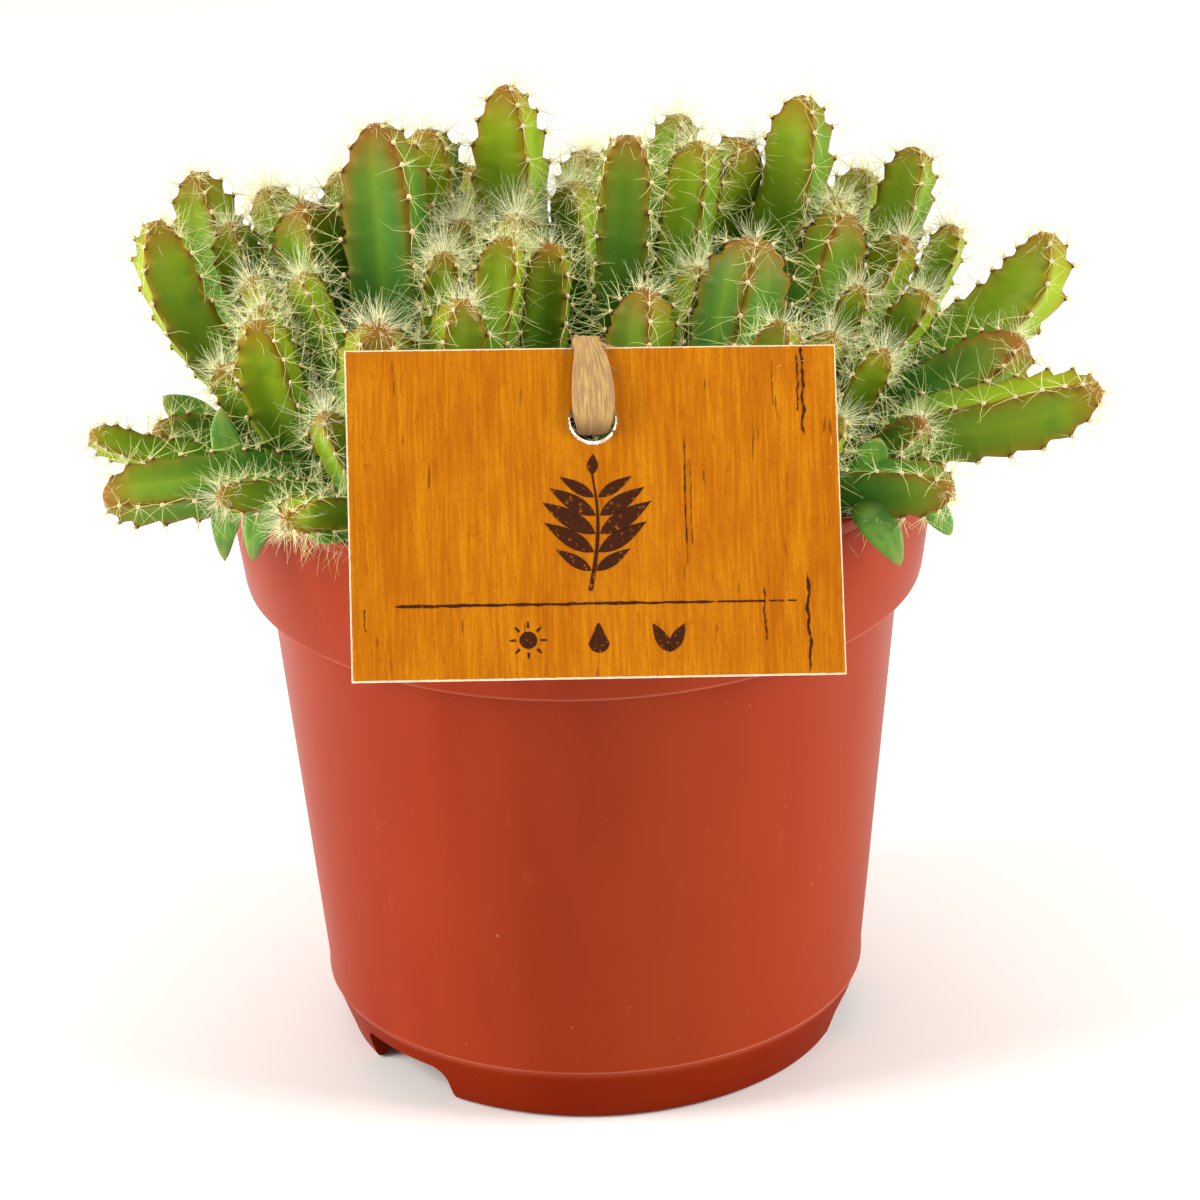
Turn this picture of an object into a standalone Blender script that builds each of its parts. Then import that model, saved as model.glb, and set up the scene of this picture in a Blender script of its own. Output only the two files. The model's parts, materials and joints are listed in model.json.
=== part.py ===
"""Potted dragon fruit cactus: a clump of ribbed young stems in a flared plastic pot, with a hanging card
tied to one stem by a raffia ribbon.

Lengths are in millimetres here, and MM turns them into the metres of the scene. X runs to the right, Y to the
back and Z up, with the pot's axis at the zero of these measures. CENTRE moves everything, so that the middle of
the object's footprint is the origin of the scene.
"""

import math
import random

import bmesh
import bpy
import numpy as np
from mathutils import Matrix, Vector
from mathutils.bvhtree import BVHTree

MM = 0.001
CENTRE = (3.0, -7.0)
GAP = 0.3

# Pot
POT_STEPS = 48
RIM_R = 65.0
RIM_Z = 116.8
COLLAR_FOOT_R = 61.4
COLLAR_FOOT_Z = 90.5
BODY_TOP_R = 57.2
BEND_R = 49.3
BEND_Z = 10.9
FOOT_R = 45.4
WALL = 1.6
FOOT_RING = 2.0
FLOOR_Z = 3.6
FLOOR_THICK = 1.6

# Openings at the foot of the pot
NOTCH_TURNS = (-49.5, 81.5, 196.0)
NOTCH_WIDE = 22.0
NOTCH_TALL = 7.0
NOTCH_CORNER = 3.0
NOTCH_FROM_R = 42.0
NOTCH_TO_R = 54.0
DRAIN_R = 2.5
DRAIN_CIRCLE_R = 28.0
DRAIN_COUNT = 6

# Soil
SOIL_Z = 112.0
ROOT_DEEP = 8.0
HOLE_DEEP = 9.0
HOLE_SIDES = 6

# Hanging card
CARD_WIDE = 84.0
CARD_TALL = 57.0
CARD_THICK = 0.8
CARD_PLACE = (2.1, -60.2, 125.6)
CARD_LEAN = 33.0
CARD_YAW = 5.6
CARD_ROLL = 3.1
CARD_HOLE_R = 4.0
CARD_HOLE_UP = 16.1

# Raffia ribbon
RIBBON_THICK = 1.1
TIED_STEM = "Stem_15"
RIBBON_STEM_R = 8.4
RIBBON_STEM_Z = 139.0

# Stem form, as shares of the crest radius
WIDTH_TO_CREST_R = 1.9
ROOT_SHARE = 0.46
VALLEY_SHARE = 0.68
TOOTH_SHARE = 1.08
NOTCH_SHARE = 0.95
TOOTH_PITCH = 8.0
TOOTH_START = 6.0
NECK_SHARE = 0.35
DOME_SHARE = 0.55
DOME_POWER = 2.2
CURVE_STEPS = 32

# Spines
SPINE_SEED = 13
SPINES_EACH = 4
SPINE_R = 0.36
SPINE_SUNK = 1.6
SPINE_LENGTHS = (4.5, 8.0)
SPINE_CLEAR = 0.55
SPINE_TRIES = 4

# Each stem: ribs, width, turn of its ribs in degrees, base, then the three points that shape it up to its tip
STEMS = {
    "Stem_01": (4, 14.2, 26, (-8.5, 16), (-9.5, 17, 132), (-11.5, 19, 153), (-11.5, 22, 174)),
    "Stem_02": (4, 14.0, 20, (33, 22), (35, 23, 132), (40.5, 26, 150), (42, 30, 167.5)),
    "Stem_03": (4, 16.8, 30, (-32.5, 2), (-32.5, 3, 132), (-32.7, 5, 152), (-34.5, 8, 172.5)),
    "Stem_04": (5, 12.6, 20, (-27.5, 20), (-27.5, 20, 130), (-26.5, 21, 148), (-25.5, 22, 166)),
    "Stem_05": (4, 11.6, 45, (6, 0), (7, 0, 131), (8, 1, 151), (10, 2, 171)),
    "Stem_06": (4, 8.6, 0, (11, 36), (12, 36, 128), (16.3, 38, 145), (20.3, 40, 161)),
    "Stem_07": (4, 10.0, 20, (17, 16), (18, 16, 129), (20, 18, 146), (23, 20, 163)),
    "Stem_08": (4, 12.8, 60, (25.5, 34), (25.5, 33, 128), (25, 31, 145), (32, 27, 160)),
    "Stem_09": (4, 10.6, 10, (43, 34), (44, 35, 124), (49, 38, 137), (54, 42, 148.5)),
    "Stem_10": (4, 10.4, 15, (48, 23), (51, 24, 128), (60, 28, 140), (62.5, 34, 155.5)),
    "Stem_11": (4, 11.5, 67, (38, 8), (39, 8, 125), (44, 10, 138), (49, 12, 151.5)),
    "Stem_12": (4, 8.2, 30, (40.5, 20), (41.5, 20, 125), (46, 20.5, 138), (47.5, 21.5, 151)),
    "Stem_13": (4, 15.2, 85, (24, -16), (25, -16, 127), (28, -15, 142), (32, -14, 157)),
    "Stem_14": (4, 7.4, 0, (14, -8), (15, -8, 124), (18, -7, 137), (22, -6, 149)),
    "Stem_15": (4, 11.4, 12, (8, -30), (9, -30, 126), (10, -31, 141), (12, -32, 155)),
    "Stem_16": (4, 10.4, 38, (-7.5, -14), (-7.5, -14, 127), (-5.5, -13, 141), (-4.5, -12, 156.5)),
    "Stem_17": (4, 9.6, 30, (-18, -20), (-17, -20, 127), (-15, -18, 143), (-12, -16, 159.5)),
    "Stem_18": (4, 10.8, 62, (-23.5, -34), (-23.5, -34, 126), (-21.5, -34, 141), (-19.5, -34, 155)),
    "Stem_19": (5, 13.4, 15, (-36, -31), (-36, -31, 125), (-35.5, -34, 139), (-34, -37, 152)),
    "Stem_20": (4, 9.6, 25, (25.5, -36), (26.5, -36, 124), (31.5, -36, 137), (35.5, -36, 150)),
    "Stem_21": (4, 12.0, 37, (-46, -20), (-46.5, -20, 124), (-52.7, -21, 121), (-55.7, -27, 149)),
    "Stem_22": (4, 6.8, 5, (-46, -8), (-47, -8, 123), (-52.5, -9, 134), (-55.8, -10, 145.5)),
    "Stem_23": (4, 12.8, 63, (-55, 6), (-57, 6, 127), (-72, 5, 128), (-74.5, 6, 156)),
    "Stem_24": (4, 12.0, 20, (-49, 25), (-51, 25, 124), (-65, 25, 127), (-68, 22, 159)),
    "Stem_25": (5, 11.0, 0, (-45, 34), (-46, 34, 124), (-52, 36, 138), (-56.5, 37, 150.2)),
    "Stem_26": (4, 12.6, 7, (-42, 13), (-43, 13, 127), (-47, 11, 143), (-48, 7, 158)),
    "Stem_27": (4, 8.6, 18, (-49, 15), (-51, 15, 123), (-58.8, 15, 131), (-61.6, 12, 153)),
    "Stem_28": (5, 9.4, 12, (-22, 6), (-22, 6, 126), (-21, 7, 140), (-20, 8, 154)),
    "Stem_29": (4, 8.4, 40, (-26, -8), (-26, -8, 126), (-24, -8, 140), (-23, -8, 154)),
    "Stem_30": (4, 9.0, 0, (-12, 0), (-12, 0, 127), (-11, 1, 142), (-10, 2, 157)),
    "Stem_31": (4, 7.1, 22, (-48, 2), (-49, 2, 124), (-53, 1, 136), (-58, 0, 147)),
    "Stem_32": (4, 6.7, 8, (-39, -10), (-40, -10, 125), (-44, -8, 138), (-49, -6, 150)),
    "Stem_33": (4, 7.4, 30, (-52, -10), (-53, -10, 124), (-60, -11, 125), (-63, -14, 136)),
    "Stem_34": (4, 10.4, 10, (4, 18), (4, 18, 126), (1.5, 19, 141), (-0.6, 20, 156)),
    "Stem_35": (4, 7.5, 0, (-35.5, -40.5), (-36, -41, 121), (-42, -44, 131), (-44, -44, 139)),
    "Stem_36": (4, 6.7, 10, (-53, -16), (-55, -17, 123.5), (-68, -21.5, 116.8), (-86, -24, 128)),
    "Stem_37": (4, 8.6, 30, (-55, -3), (-57, -6, 122), (-67, -14, 120), (-75.5, -15.5, 125)),
    "Stem_38": (4, 11.4, 20, (-46, -30), (-48, -31, 124), (-61, -34, 121.5), (-83, -41, 122.8)),
    "Stem_39": (4, 7.6, 0, (-41, -37), (-43, -38, 123), (-53, -43, 123), (-63, -47, 125)),
    "Stem_40": (4, 7.5, 15, (-37, -46), (-38.5, -47.5, 123.8), (-45, -56, 126), (-51, -62, 126.5)),
    "Stem_41": (4, 14.2, 9, (54, 11), (60, 11, 127.5), (83.5, 11, 126), (84.6, 12, 146.5)),
    "Stem_42": (4, 13.1, 78, (54, -5), (55, -6, 124), (68, -8, 121), (78.5, -11, 135.5)),
    "Stem_43": (4, 13.6, 30, (53, -18), (54, -18, 126.5), (69, -22, 119.5), (91, -29, 132.8)),
    "Stem_44": (4, 10.4, 10, (40, -36), (41, -37, 123), (51, -42, 120), (64, -49, 123)),
    "Stem_45": (4, 9.6, 20, (32, -45), (33, -45, 120), (39, -46, 129), (45, -43, 135)),
    "Stem_46": (4, 8.4, 0, (45, 13), (47, 14, 123), (54, 15, 135), (60, 16, 145)),
    "Stem_47": (4, 8.0, 25, (54.5, 18), (56, 18.5, 121), (66, 26, 131), (69, 28, 142.5)),
    "Stem_48": (4, 8.2, 12, (48, 3), (50, 3, 121), (57, 3, 131), (63.2, 4, 138.8)),
    "Stem_49": (4, 7.1, 30, (41, -2), (43, -2, 122), (46, -1, 132), (51, 0, 142)),
    "Stem_50": (4, 7.7, 8, (36, -20), (37, -20, 122), (40, -21, 133), (45, -22, 142)),
    "Stem_51": (4, 7.7, 40, (44, -22), (45, -22, 121), (48, -23, 131), (54, -23, 139)),
    "Stem_52": (4, 7.3, 0, (46, -30), (48, -30, 118), (54.5, -32, 124), (60, -34, 130)),
    "Stem_53": (4, 10.0, 20, (-20, 44), (-20, 44, 125), (-19, 45, 137), (-19, 46, 150)),
    "Stem_54": (4, 10.0, 15, (-34, 40), (-35, 40, 125), (-39, 40, 139), (-43, 40, 152)),
    "Stem_55": (4, 9.6, 0, (-2, 49), (-1, 49, 125), (1, 50, 138), (3, 50, 151)),
    "Stem_56": (4, 10.4, 30, (26, 47), (27, 48, 122), (33, 50, 133), (38, 51, 143)),
}

# Seed leaves, each fused to a stem: root, middle, tip, width, and the way its broad face looks
SEED_LEAVES = {
    "Stem_37": [((-62, -8.5, 120.5), (-69, -7, 123), (-74, -8, 128), 6.5, (-0.2, -1.0, 0.4))],
    "Stem_38": [
        ((-58, -32.5, 122.5), (-62.5, -31, 126), (-62.3, -31, 135), 5.6, (-0.2, -1.0, 0.2)),
        ((-58, -35, 121), (-62.5, -41, 124), (-62.4, -42, 110.5), 5.6, (-0.2, -1.0, 0.6)),
    ],
    "Stem_39": [((-49.5, -41.5, 121.5), (-56.5, -49, 126), (-57, -49.5, 113.5), 5.6, (-0.2, -1.0, 0.6))],
    "Stem_40": [((-40, -49, 119.5), (-42, -53.5, 120.5), (-47, -54, 119.8), 5.0, (-0.1, -0.7, 1.0))],
    "Stem_44": [
        ((46, -41, 119.5), (50.2, -49, 122.8), (54.8, -50.5, 109.5), 7.2, (0.2, -1.0, 0.6)),
        ((57, -46, 120.5), (61.5, -47.5, 119), (63.4, -47, 113.5), 4.5, (0.3, -1.0, 0.3)),
        ((47.5, -40, 121), (50.5, -39, 125), (51.8, -38, 128.5), 6.0, (0.2, -1.0, 0.2)),
    ],
}
LEAF_THICK = 1.5
LEAF_RINGS = 6


def clear_scene():
    for old in list(bpy.data.objects):
        bpy.data.objects.remove(old, do_unlink=True)


def collection(name, helper=False):
    made = bpy.data.collections.new(name)
    made.hide_render = helper
    bpy.context.scene.collection.children.link(made)
    return made


def material(name, colour, roughness, metallic=0.0):
    made = bpy.data.materials.new(name)
    made.use_nodes = True
    shader = made.node_tree.nodes["Principled BSDF"]
    shader.inputs["Base Color"].default_value = (*colour, 1.0)
    shader.inputs["Roughness"].default_value = roughness
    shader.inputs["Metallic"].default_value = metallic
    made.diffuse_color = (*colour, 1.0)
    return made


def placed(points):
    """Pot-axis millimetres as points of the scene."""
    shift = np.array([CENTRE[0], CENTRE[1], 0.0])
    return (np.asarray(points, float) - shift) * MM


def mesh_object(name, group, points, faces, surface=None):
    mesh = bpy.data.meshes.new(name)
    mesh.from_pydata([tuple(p) for p in placed(points)], [], faces)
    shape = bmesh.new()
    shape.from_mesh(mesh)
    bmesh.ops.recalc_face_normals(shape, faces=shape.faces)
    shape.to_mesh(mesh)
    shape.free()
    made = bpy.data.objects.new(name, mesh)
    group.objects.link(made)
    if surface:
        mesh.materials.append(surface)
    return made


def turned(name, group, profile, surface):
    """A solid of revolution about the pot's axis. The profile starts and ends on the axis."""
    mesh = bpy.data.meshes.new(name)
    points = [(r * MM, 0.0, z * MM) for r, z in profile]
    mesh.from_pydata(points, [(i, i + 1) for i in range(len(points) - 1)], [])
    mesh.materials.append(surface)
    made = bpy.data.objects.new(name, mesh)
    made.location = placed([0.0, 0.0, 0.0])
    group.objects.link(made)
    screw = made.modifiers.new("Turn", "SCREW")
    screw.steps = POT_STEPS
    screw.render_steps = POT_STEPS
    screw.use_merge_vertices = True
    screw.merge_threshold = 0.0001
    screw.use_smooth_shade = False
    return made


def cut(target, group, solver="EXACT"):
    """Takes every solid of the group out of the target."""
    boolean = target.modifiers.new("Cut", "BOOLEAN")
    boolean.operation = "DIFFERENCE"
    boolean.operand_type = "COLLECTION"
    boolean.collection = group
    boolean.solver = solver


def cutter(name, group, shape):
    mesh = bpy.data.meshes.new(name)
    shape.to_mesh(mesh)
    shape.free()
    made = bpy.data.objects.new(name, mesh)
    made.hide_render = True
    made.display_type = "WIRE"
    group.objects.link(made)
    return made


def cylinder_cutter(name, group, x, y, low, high, radius, sides, turn=0.0):
    shape = bmesh.new()
    bmesh.ops.create_cone(
        shape, cap_ends=True, segments=sides, radius1=radius * MM, radius2=radius * MM, depth=(high - low) * MM
    )
    made = cutter(name, group, shape)
    made.location = placed([x, y, (low + high) / 2])
    made.rotation_euler = (0.0, 0.0, turn)


def pot_inner_r(z):
    """Inner radius of the pot's wall at this height."""
    ledge_z = COLLAR_FOOT_Z + WALL
    if z >= ledge_z:
        share = (z - ledge_z) / (RIM_Z - ledge_z)
        low_r = COLLAR_FOOT_R - WALL
        return low_r + share * (RIM_R - WALL - low_r)
    if z >= BEND_Z:
        share = (z - BEND_Z) / (COLLAR_FOOT_Z - BEND_Z)
        return BEND_R + share * (BODY_TOP_R - BEND_R) - WALL
    return FOOT_R + z / BEND_Z * (BEND_R - FOOT_R) - WALL


def make_pot(group, cutters):
    floor_top = FLOOR_Z + FLOOR_THICK
    ledge_z = COLLAR_FOOT_Z + WALL
    profile = [
        (0.0, floor_top),
        (pot_inner_r(floor_top), floor_top),
        (pot_inner_r(BEND_Z), BEND_Z),
        (BODY_TOP_R - WALL, ledge_z),
        (COLLAR_FOOT_R - WALL, ledge_z),
        (RIM_R - WALL, RIM_Z),
        (RIM_R, RIM_Z),
        (COLLAR_FOOT_R, COLLAR_FOOT_Z),
        (BODY_TOP_R, COLLAR_FOOT_Z),
        (BEND_R, BEND_Z),
        (FOOT_R, 0.0),
        (FOOT_R - FOOT_RING, 0.0),
        (FOOT_R - FOOT_RING, FLOOR_Z),
        (0.0, FLOOR_Z),
    ]
    pot = turned("Pot", group, profile, material("Pot_plastic", (0.52, 0.10, 0.035), 0.45))
    for number, turn in enumerate(NOTCH_TURNS):
        shape = bmesh.new()
        bmesh.ops.create_cube(shape, size=1.0)
        reach = NOTCH_TO_R - NOTCH_FROM_R
        bmesh.ops.scale(shape, vec=(reach * MM, NOTCH_WIDE * MM, 2 * NOTCH_TALL * MM), verts=shape.verts)
        upper = [
            edge
            for edge in shape.edges
            if all(v.co.z > 0 for v in edge.verts) and edge.verts[0].co.y * edge.verts[1].co.y > 0
        ]
        bmesh.ops.bevel(
            shape, geom=upper, offset=NOTCH_CORNER * MM, segments=3, profile=0.5, material=-1, affect="EDGES"
        )
        made = cutter(f"Notch_{number + 1}", cutters, shape)
        angle = math.radians(turn - 90.0)
        middle = (NOTCH_FROM_R + NOTCH_TO_R) / 2
        made.location = placed([middle * math.cos(angle), middle * math.sin(angle), 0.0])
        made.rotation_euler = (0.0, 0.0, angle)
    for number in range(DRAIN_COUNT):
        angle = math.tau * number / DRAIN_COUNT
        x, y = DRAIN_CIRCLE_R * math.cos(angle), DRAIN_CIRCLE_R * math.sin(angle)
        cylinder_cutter(f"Drain_{number + 1}", cutters, x, y, 0.0, floor_top + 5.0, DRAIN_R, 12)
    cut(pot, cutters)
    return pot


def make_soil(group, cutters):
    floor_top = FLOOR_Z + FLOOR_THICK + GAP
    ledge_z = COLLAR_FOOT_Z + WALL + GAP
    profile = [
        (0.0, SOIL_Z),
        (pot_inner_r(SOIL_Z) - GAP, SOIL_Z),
        (COLLAR_FOOT_R - WALL - GAP, ledge_z),
        (BODY_TOP_R - WALL - GAP, ledge_z),
        (pot_inner_r(BEND_Z) - GAP, BEND_Z),
        (pot_inner_r(floor_top) - GAP, floor_top),
        (0.0, floor_top),
    ]
    soil = turned("Soil", group, profile, material("Soil_earth", (0.035, 0.022, 0.014), 0.95))
    for name, (_, width, _, base, *_) in STEMS.items():
        radius = (ROOT_SHARE * width / WIDTH_TO_CREST_R + GAP) / math.cos(math.pi / HOLE_SIDES)
        cylinder_cutter(f"{name}_hole", cutters, *base, SOIL_Z - HOLE_DEEP, SOIL_Z + 5.0, radius, HOLE_SIDES)
    cut(soil, cutters)
    return soil


def card_axes():
    """Card directions in columns: across to the right, through to the back, and up."""
    turns = (
        Matrix.Rotation(math.radians(CARD_YAW), 3, "Z"),
        Matrix.Rotation(-math.radians(CARD_LEAN), 3, "X"),
        Matrix.Rotation(math.radians(CARD_ROLL), 3, "Y"),
    )
    return np.array(turns[0] @ turns[1] @ turns[2])


def on_card(across, behind, up):
    return np.array(CARD_PLACE) + card_axes() @ np.array([across, behind, up])


def make_card(group, cutters):
    shape = bmesh.new()
    bmesh.ops.create_cube(shape, size=1.0)
    bmesh.ops.scale(shape, vec=(CARD_WIDE * MM, CARD_THICK * MM, CARD_TALL * MM), verts=shape.verts)
    mesh = bpy.data.meshes.new("Card")
    shape.to_mesh(mesh)
    shape.free()
    mesh.materials.append(material("Card_board", (0.62, 0.24, 0.015), 0.6))
    card = bpy.data.objects.new("Card", mesh)
    card.location = placed(CARD_PLACE)
    card.rotation_euler = Matrix(card_axes().tolist()).to_euler()
    group.objects.link(card)
    shape = bmesh.new()
    bmesh.ops.create_cone(
        shape, cap_ends=True, segments=24, radius1=CARD_HOLE_R * MM, radius2=CARD_HOLE_R * MM, depth=10 * MM
    )
    bmesh.ops.rotate(shape, cent=(0, 0, 0), matrix=Matrix.Rotation(math.pi / 2, 3, "X"), verts=shape.verts)
    hole = cutter("Card_hole", cutters, shape)
    hole.location = placed(on_card(0.0, 0.0, CARD_HOLE_UP))
    hole.rotation_euler = card.rotation_euler
    cut(card, cutters)
    return card


def make_ribbon(group):
    """Closed loop: through the card's hole, up its front, over its top edge, round a stem and back."""
    across = card_axes()[:, 0]
    upright = np.array([0.0, 0.0, 1.0])
    tied = AXES[TIED_STEM][0]
    middle = np.array([np.interp(RIBBON_STEM_Z, tied[:, 2], tied[:, axis]) for axis in range(2)])
    stations = [
        (on_card(0.0, 2.4, CARD_HOLE_UP - 0.8), across, 5.6),
        (on_card(0.0, 0.0, CARD_HOLE_UP - 1.2), across, 6.0),
        (on_card(0.0, -2.0, CARD_HOLE_UP - 0.6), across, 6.4),
        (on_card(0.0, -2.2, CARD_HOLE_UP + 1.6), across, 7.0),
        (on_card(0.0, -1.5, CARD_HOLE_UP + 5.5), across, 6.2),
        (on_card(0.0, -1.4, CARD_HOLE_UP + 9.5), across, 5.3),
        (on_card(0.0, -1.4, CARD_TALL / 2), across, 5.0),
        (on_card(0.0, -0.6, CARD_TALL / 2 + 1.4), across, 5.0),
        (on_card(0.2, 0.9, CARD_TALL / 2 + 1.5), across, 5.0),
        (on_card(0.8, 2.6, CARD_TALL / 2), across, 5.0),
    ]
    for turn in (-40.0, 0.0, 45.0, 90.0, 135.0, 180.0, 215.0):
        angle = math.radians(turn)
        x, y = middle + RIBBON_STEM_R * np.array([math.cos(angle), math.sin(angle)])
        stations.append((np.array([x, y, RIBBON_STEM_Z]), upright, 4.6))
    leaving = 0.5 * (stations[-1][0] + on_card(0.0, 5.0, CARD_HOLE_UP))
    stations.append((leaving, across + upright, 5.0))
    points = []
    for number, (place, wide, width) in enumerate(stations):
        travel = stations[(number + 1) % len(stations)][0] - stations[number - 1][0]
        thick = np.cross(travel, wide)
        thick /= np.linalg.norm(thick)
        wide = np.cross(thick, travel)
        wide /= np.linalg.norm(wide)
        for side, level in ((-1, 0), (-0.8, -1), (0.8, -1), (1, 0), (0.8, 1), (-0.8, 1)):
            points.append(place + wide * side * width / 2 + thick * level * RIBBON_THICK / 2)
    faces = []
    count, sides = len(stations), 6
    for ring in range(count):
        following = (ring + 1) % count
        for side in range(sides):
            nearby = (side + 1) % sides
            faces.append(
                (ring * sides + side, ring * sides + nearby, following * sides + nearby, following * sides + side)
            )
    return mesh_object("Raffia", group, points, faces, material("Raffia_fibre", (0.60, 0.44, 0.24), 0.8))


def curve(base, rise, bend, tip):
    """Places evenly numbered along a stem's axis, the distance of each from the soil, and two cross directions."""
    control = np.array([(base[0], base[1], SOIL_Z), rise, bend, tip], float)
    t = np.linspace(0.0, 1.0, CURVE_STEPS + 1)[:, None]
    place = (
        (1 - t) ** 3 * control[0]
        + 3 * t * (1 - t) ** 2 * control[1]
        + 3 * t * t * (1 - t) * control[2]
        + t**3 * control[3]
    )
    run = np.concatenate([[0.0], np.cumsum(np.linalg.norm(np.diff(place, axis=0), axis=1))])
    ahead = np.gradient(place, axis=0)
    ahead /= np.linalg.norm(ahead, axis=1)[:, None]
    ahead[0] = (0.0, 0.0, 1.0)
    across = [np.array([1.0, 0.0, 0.0])]
    for direction in ahead[1:]:
        side = across[-1] - direction * across[-1].dot(direction)
        across.append(side / np.linalg.norm(side))
    across = np.array(across)
    return place, run, across, np.cross(ahead, across), ahead


def girth(run, length, width):
    """Crest radius at this distance along a stem: a narrow neck, an even body and a rounded tip."""
    share = np.clip(run / length / NECK_SHARE, 0.0, 1.0)
    neck = ROOT_SHARE + (1 - ROOT_SHARE) * share * share * (3 - 2 * share)
    dome = np.clip((length - run) / (DOME_SHARE * width), 0.0, 1.0)
    return width / WIDTH_TO_CREST_R * neck * (1 - (1 - dome) ** DOME_POWER) ** (1 / DOME_POWER)


AXES = {name: curve(*spec[3:]) for name, spec in STEMS.items()}
GIRTHS = {name: girth(AXES[name][1], AXES[name][1][-1], STEMS[name][1]) for name in STEMS}


def pressed(name, centre, radius, point):
    """The point drawn in towards the axis, where a neighbour, the rim or the card presses this stem flat."""
    reach = point - centre
    share = 1.0
    for other in STEMS:
        if other == name:
            continue
        away = AXES[other][0] - centre
        distance = np.linalg.norm(away, axis=1)
        nearest = int(np.argmin(distance - GIRTHS[other]))
        span = distance[nearest]
        room = span * radius / (radius + GIRTHS[other][nearest]) - 0.6 * GAP
        out = reach.dot(away[nearest]) / span
        if out > room:
            share = min(share, room / out)
    flat = math.hypot(centre[0], centre[1])
    rim_r = RIM_R - WALL / 2
    away = np.array([centre[0] / flat * rim_r, centre[1] / flat * rim_r, RIM_Z]) - centre
    span = np.linalg.norm(away)
    out = reach.dot(away) / span
    room = span - WALL / 2 - 1.5 * GAP
    if out > room:
        share = min(share, room / out)
    axes = card_axes()
    local = axes.T @ (centre - np.array(CARD_PLACE))
    if abs(local[0]) < CARD_WIDE / 2 + radius and abs(local[2]) < CARD_TALL / 2 + radius:
        room = local[1] - CARD_THICK / 2 - GAP
        out = -reach.dot(axes[:, 1])
        if 0 < room < out:
            share = min(share, room / out)
    point = centre + reach * max(share, 0.2)
    if point[2] < SOIL_Z + GAP:
        point[2] = SOIL_Z + GAP
    return point


def stem_shape(name):
    """Points and faces of a stem, and the place and outward direction of each tooth on its crests."""
    ribs, width, turn, *_ = STEMS[name]
    place, run, across, around, ahead = AXES[name]
    length = run[-1]
    dome = DOME_SHARE * width
    stations = [(TOOTH_START, 1.0, True)]
    teeth = max(2, round((length - dome - TOOTH_START) / TOOTH_PITCH))
    pitch = (length - dome - TOOTH_START) / teeth
    for tooth in range(teeth):
        low = TOOTH_START + tooth * pitch
        stations.append((low + 0.6 * pitch, TOOTH_SHARE, False))
        stations.append((low + pitch, NOTCH_SHARE, True))
    stations.append((length - 0.45 * dome, 1.0, True))
    stations.append((length - 0.12 * dome, 1.0, True))
    crest_turns = math.radians(turn) + math.tau * np.arange(ribs) / ribs
    valley_turns = crest_turns + math.pi / ribs
    root_r = ROOT_SHARE * width / WIDTH_TO_CREST_R
    base = place[0]
    points, rings, teeth_at = [], [], []

    def ring(centre, side, front, crest_r, valley_r, press=None):
        crests, valleys = [], []
        for angles, radius, found in ((crest_turns, crest_r, crests), (valley_turns, valley_r, valleys)):
            if radius is None:
                continue
            for angle in angles:
                point = centre + radius * (side * math.cos(angle) + front * math.sin(angle))
                if press:
                    point = pressed(name, centre, press, point)
                found.append(len(points))
                points.append(point)
        rings.append((crests, valleys))

    level = np.array([1.0, 0.0, 0.0]), np.array([0.0, 1.0, 0.0])
    points.append(base - np.array([0.0, 0.0, ROOT_DEEP]))
    ring(base, *level, root_r, root_r)
    for at, crest_share, full in stations:
        centre = np.array([np.interp(at, run, place[:, axis]) for axis in range(3)])
        side = np.array([np.interp(at, run, across[:, axis]) for axis in range(3)])
        front = np.array([np.interp(at, run, around[:, axis]) for axis in range(3)])
        radius = float(girth(at, length, width))
        valley_share = VALLEY_SHARE + 0.2 * max(0.0, 1.0 - at / TOOTH_START)
        ring(centre, side, front, crest_share * radius, valley_share * radius if full else None, radius)
        if not full:
            for index in rings[-1][0]:
                out = points[index] - centre
                along = np.array([np.interp(at, run, ahead[:, axis]) for axis in range(3)])
                teeth_at.append((points[index], out / np.linalg.norm(out), along))
    faces = []
    for rib in range(ribs):
        crests, valleys = rings[0]
        faces.append((valleys[rib], crests[rib], 0))
        faces.append((crests[(rib + 1) % ribs], valleys[rib], 0))
    previous, middle = None, None
    for crests, valleys in rings:
        if previous and valleys:
            low_crests, low_valleys = previous
            for rib in range(ribs):
                after = (rib + 1) % ribs
                if middle:
                    faces.append((low_crests[rib], low_valleys[rib], middle[rib]))
                    faces.append((middle[rib], low_valleys[rib], valleys[rib]))
                    faces.append((middle[rib], valleys[rib], crests[rib]))
                    faces.append((low_valleys[rib], low_crests[after], middle[after]))
                    faces.append((low_valleys[rib], middle[after], valleys[rib]))
                    faces.append((valleys[rib], middle[after], crests[after]))
                else:
                    faces.append((low_crests[rib], low_valleys[rib], valleys[rib], crests[rib]))
                    faces.append((low_valleys[rib], low_crests[after], crests[after], valleys[rib]))
        middle = None if valleys else crests
        if valleys:
            previous = (crests, valleys)
    apex = len(points)
    points.append(place[-1])
    crests, valleys = previous
    for rib in range(ribs):
        faces.append((crests[rib], valleys[rib], apex))
        faces.append((valleys[rib], crests[(rib + 1) % ribs], apex))
    return points, faces, teeth_at


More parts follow.
